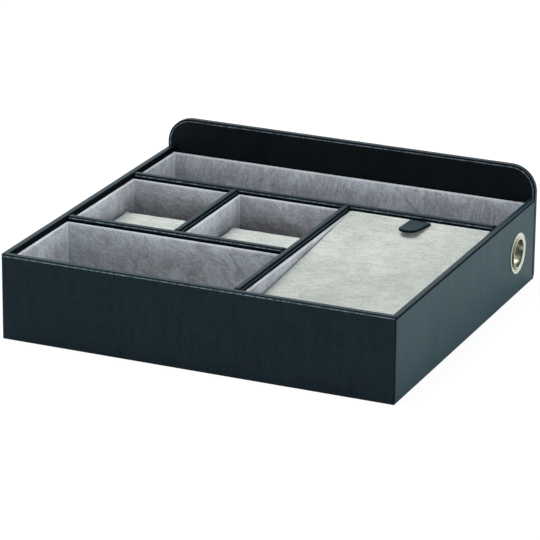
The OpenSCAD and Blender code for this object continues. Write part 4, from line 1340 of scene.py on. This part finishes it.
def swell(piece, floorZ):
    voxels = piece.modifiers.new("voxels", "REMESH")
    voxels.mode, voxels.voxel_size = "VOXEL", pad["voxel"] * mm
    settle(piece)
    start = [v.co.copy() for v in piece.data.vertices]
    pinned = piece.vertex_groups.new(name="pinned")
    pinned.add([i for i, p in enumerate(start) if p.z < (floorZ + pad["pinnedHeight"]) * mm],
               1.0, "REPLACE")
    cloth = piece.modifiers.new("cloth", "CLOTH")
    settings = cloth.settings
    settings.quality = pad["quality"]
    settings.mass = pad["mass"]
    settings.use_pressure = True
    settings.uniform_pressure_force = pad["pressure"]
    settings.vertex_group_mass = "pinned"
    settings.effector_weights.gravity = 0
    cloth.point_cache.frame_start, cloth.point_cache.frame_end = 1, pad["frames"]
    for number in range(1, pad["frames"] + 1):
        scene.frame_set(number)
    settle(piece)
    for vertex, place in zip(piece.data.vertices, start):
        move = vertex.co - place
        limit = pad["cap"] * mm
        if move.length > limit:
            vertex.co = place + move * (limit / move.length)
    scene.frame_set(1)
    finer = piece.modifiers.new("finer", "SUBSURF")
    finer.levels = finer.render_levels = 1
    settle(piece)


for index, side in enumerate(("left", "right")):
    node = side + "_pocket_pad"
    low, high = boxOf(node)
    low = low + Vector((pad["shrink"], pad["shrink"], 0))
    high = Vector((high.x - pad["shrink"], high.y - pad["shrink"], low.z + pad["thickness"][index]))
    piece = slab(node + "_suede", low, high, suedePale, 40 + index, pad)
    swell(piece, low.z)
    smooth(piece, 60)
    layCloth(piece, "z", 40 + index, *brushing["pad"])
    finishPiece(piece, suedePale, "suede_pale", side + "_pocket_floor", node)
print("pads filled")


# Boards, battens and rails keep their own shapes

for node, obj in frame["nodes"].items():
    if node.endswith("_board") or node.endswith("_battens") or node == "lid_rails":
        obj.data.materials.clear()
        obj.data.materials.append(fibreboard)


# Floor, light and camera

stage = {"floorHalf": 6000.0, "floorColour": (0.82, 0.82, 0.82, 1), "floorShown": (0.20, 0.20, 0.20, 1),
         "floorGlow": 0.93, "floorShine": 0.3,
         "ambient": 0.15, "horizon": 5.0, "horizonTop": 17.0, "fade": 1.3, "around": (0.65, 0.40, -0.25),
         "skyTint": (0.93, 0.97, 1.0, 1),
         "sunStrength": 1.95, "sunAngle": 42.0, "sunFrom": (-0.43, 0.19, 1.0)}


def lightPathMask(tree):        # which rays see the white backdrop, and which a mirrored one
    path = addNode(tree, "ShaderNodeLightPath").outputs
    shown = calc(tree, "MAXIMUM", path["Is Camera Ray"], path["Is Transmission Ray"])
    return shown, path["Is Glossy Ray"]


def makeFloor():
    half = stage["floorHalf"]
    floor = newPiece("floor", [(-half, -half, 0), (half, -half, 0), (half, half, 0), (-half, half, 0)],
                     [(0, 1, 2, 3)])
    material = bpy.data.materials.new("floor")
    material.use_nodes = True
    tree = material.node_tree
    tree.nodes.clear()
    shown, mirrored = lightPathMask(tree)
    colour = mixColour(tree, shown, stage["floorColour"], stage["floorShown"])
    matte = addNode(tree, "ShaderNodeBsdfDiffuse", {"Color": colour}).outputs[0]
    glow = calc(tree, "MULTIPLY_ADD", mirrored, stage["floorShine"],
                calc(tree, "MULTIPLY", shown, stage["floorGlow"]))
    glow = addNode(tree, "ShaderNodeEmission", {"Strength": glow}).outputs[0]
    both = addNode(tree, "ShaderNodeAddShader", {0: matte, 1: glow}).outputs[0]
    addNode(tree, "ShaderNodeOutputMaterial", {"Surface": both})
    floor.data.materials.append(material)


def makeWorld():
    world = bpy.data.worlds.new("studio")
    scene.world = world
    world.use_nodes = True
    tree = world.node_tree
    tree.nodes.clear()
    ray = separate(tree, addNode(tree, "ShaderNodeTexCoord").outputs["Generated"])
    band = remap(tree, ray[2], 0.0, sin(radians(stage["horizonTop"])) * stage["fade"], 1.0, 0.0)
    level, fromRight, fromBack = stage["around"]
    lean = calc(tree, "MULTIPLY_ADD", ray[0], fromRight, level)
    lean = calc(tree, "MULTIPLY_ADD", ray[1], fromBack, lean)
    band = calc(tree, "MULTIPLY", band, lean)
    light = calc(tree, "MULTIPLY_ADD", band, stage["horizon"], stage["ambient"])
    mask = calc(tree, "MAXIMUM", *lightPathMask(tree))
    strength = addNode(tree, "ShaderNodeMix", {0: mask, 2: light, 3: 1.0}).outputs[0]
    tint = mixColour(tree, mask, stage["skyTint"], (1, 1, 1, 1))
    shown = addNode(tree, "ShaderNodeBackground", {"Color": tint, "Strength": strength})
    addNode(tree, "ShaderNodeOutputWorld", {"Surface": shown.outputs[0]})


def makeSun():
    lamp = bpy.data.lights.new("sun", "SUN")
    lamp.energy = stage["sunStrength"]
    lamp.angle = radians(stage["sunAngle"])
    sun = bpy.data.objects.new("sun", lamp)
    sun.rotation_euler = Vector(stage["sunFrom"]).to_track_quat("Z", "Y").to_euler()
    scene.collection.objects.link(sun)


camera = {"focalPixels": 3494.773, "framePixels": 540, "sensor": 36.0, "yaw": 23.61617,
          "pitch": 19.83021, "roll": 0.532877, "place": (967.605, -2224.307, 904.242),
          "clip": (0.05, 50)}


def makeCamera():
    look = camera
    yaw, pitch, roll = (radians(look[key]) for key in ("yaw", "pitch", "roll"))
    forward = Vector((-sin(yaw) * cos(pitch), cos(yaw) * cos(pitch), -sin(pitch)))
    level = Vector((cos(yaw), sin(yaw), 0))
    rise = level.cross(forward)
    right = cos(roll) * level + sin(roll) * rise
    top = cos(roll) * rise - sin(roll) * level
    turn = Matrix((right, top, -forward)).transposed().to_4x4()
    data = bpy.data.cameras.new("camera")
    data.sensor_width = look["sensor"]
    data.lens = look["focalPixels"] / look["framePixels"] * look["sensor"]
    data.clip_start, data.clip_end = look["clip"]
    shot = bpy.data.objects.new("camera", data)
    shot.matrix_world = Matrix.Translation(Vector(look["place"]) * mm) @ turn
    scene.collection.objects.link(shot)
    scene.camera = shot


makeFloor()
makeWorld()
makeSun()
makeCamera()
scene.view_settings.view_transform = "Standard"
print("stage set")
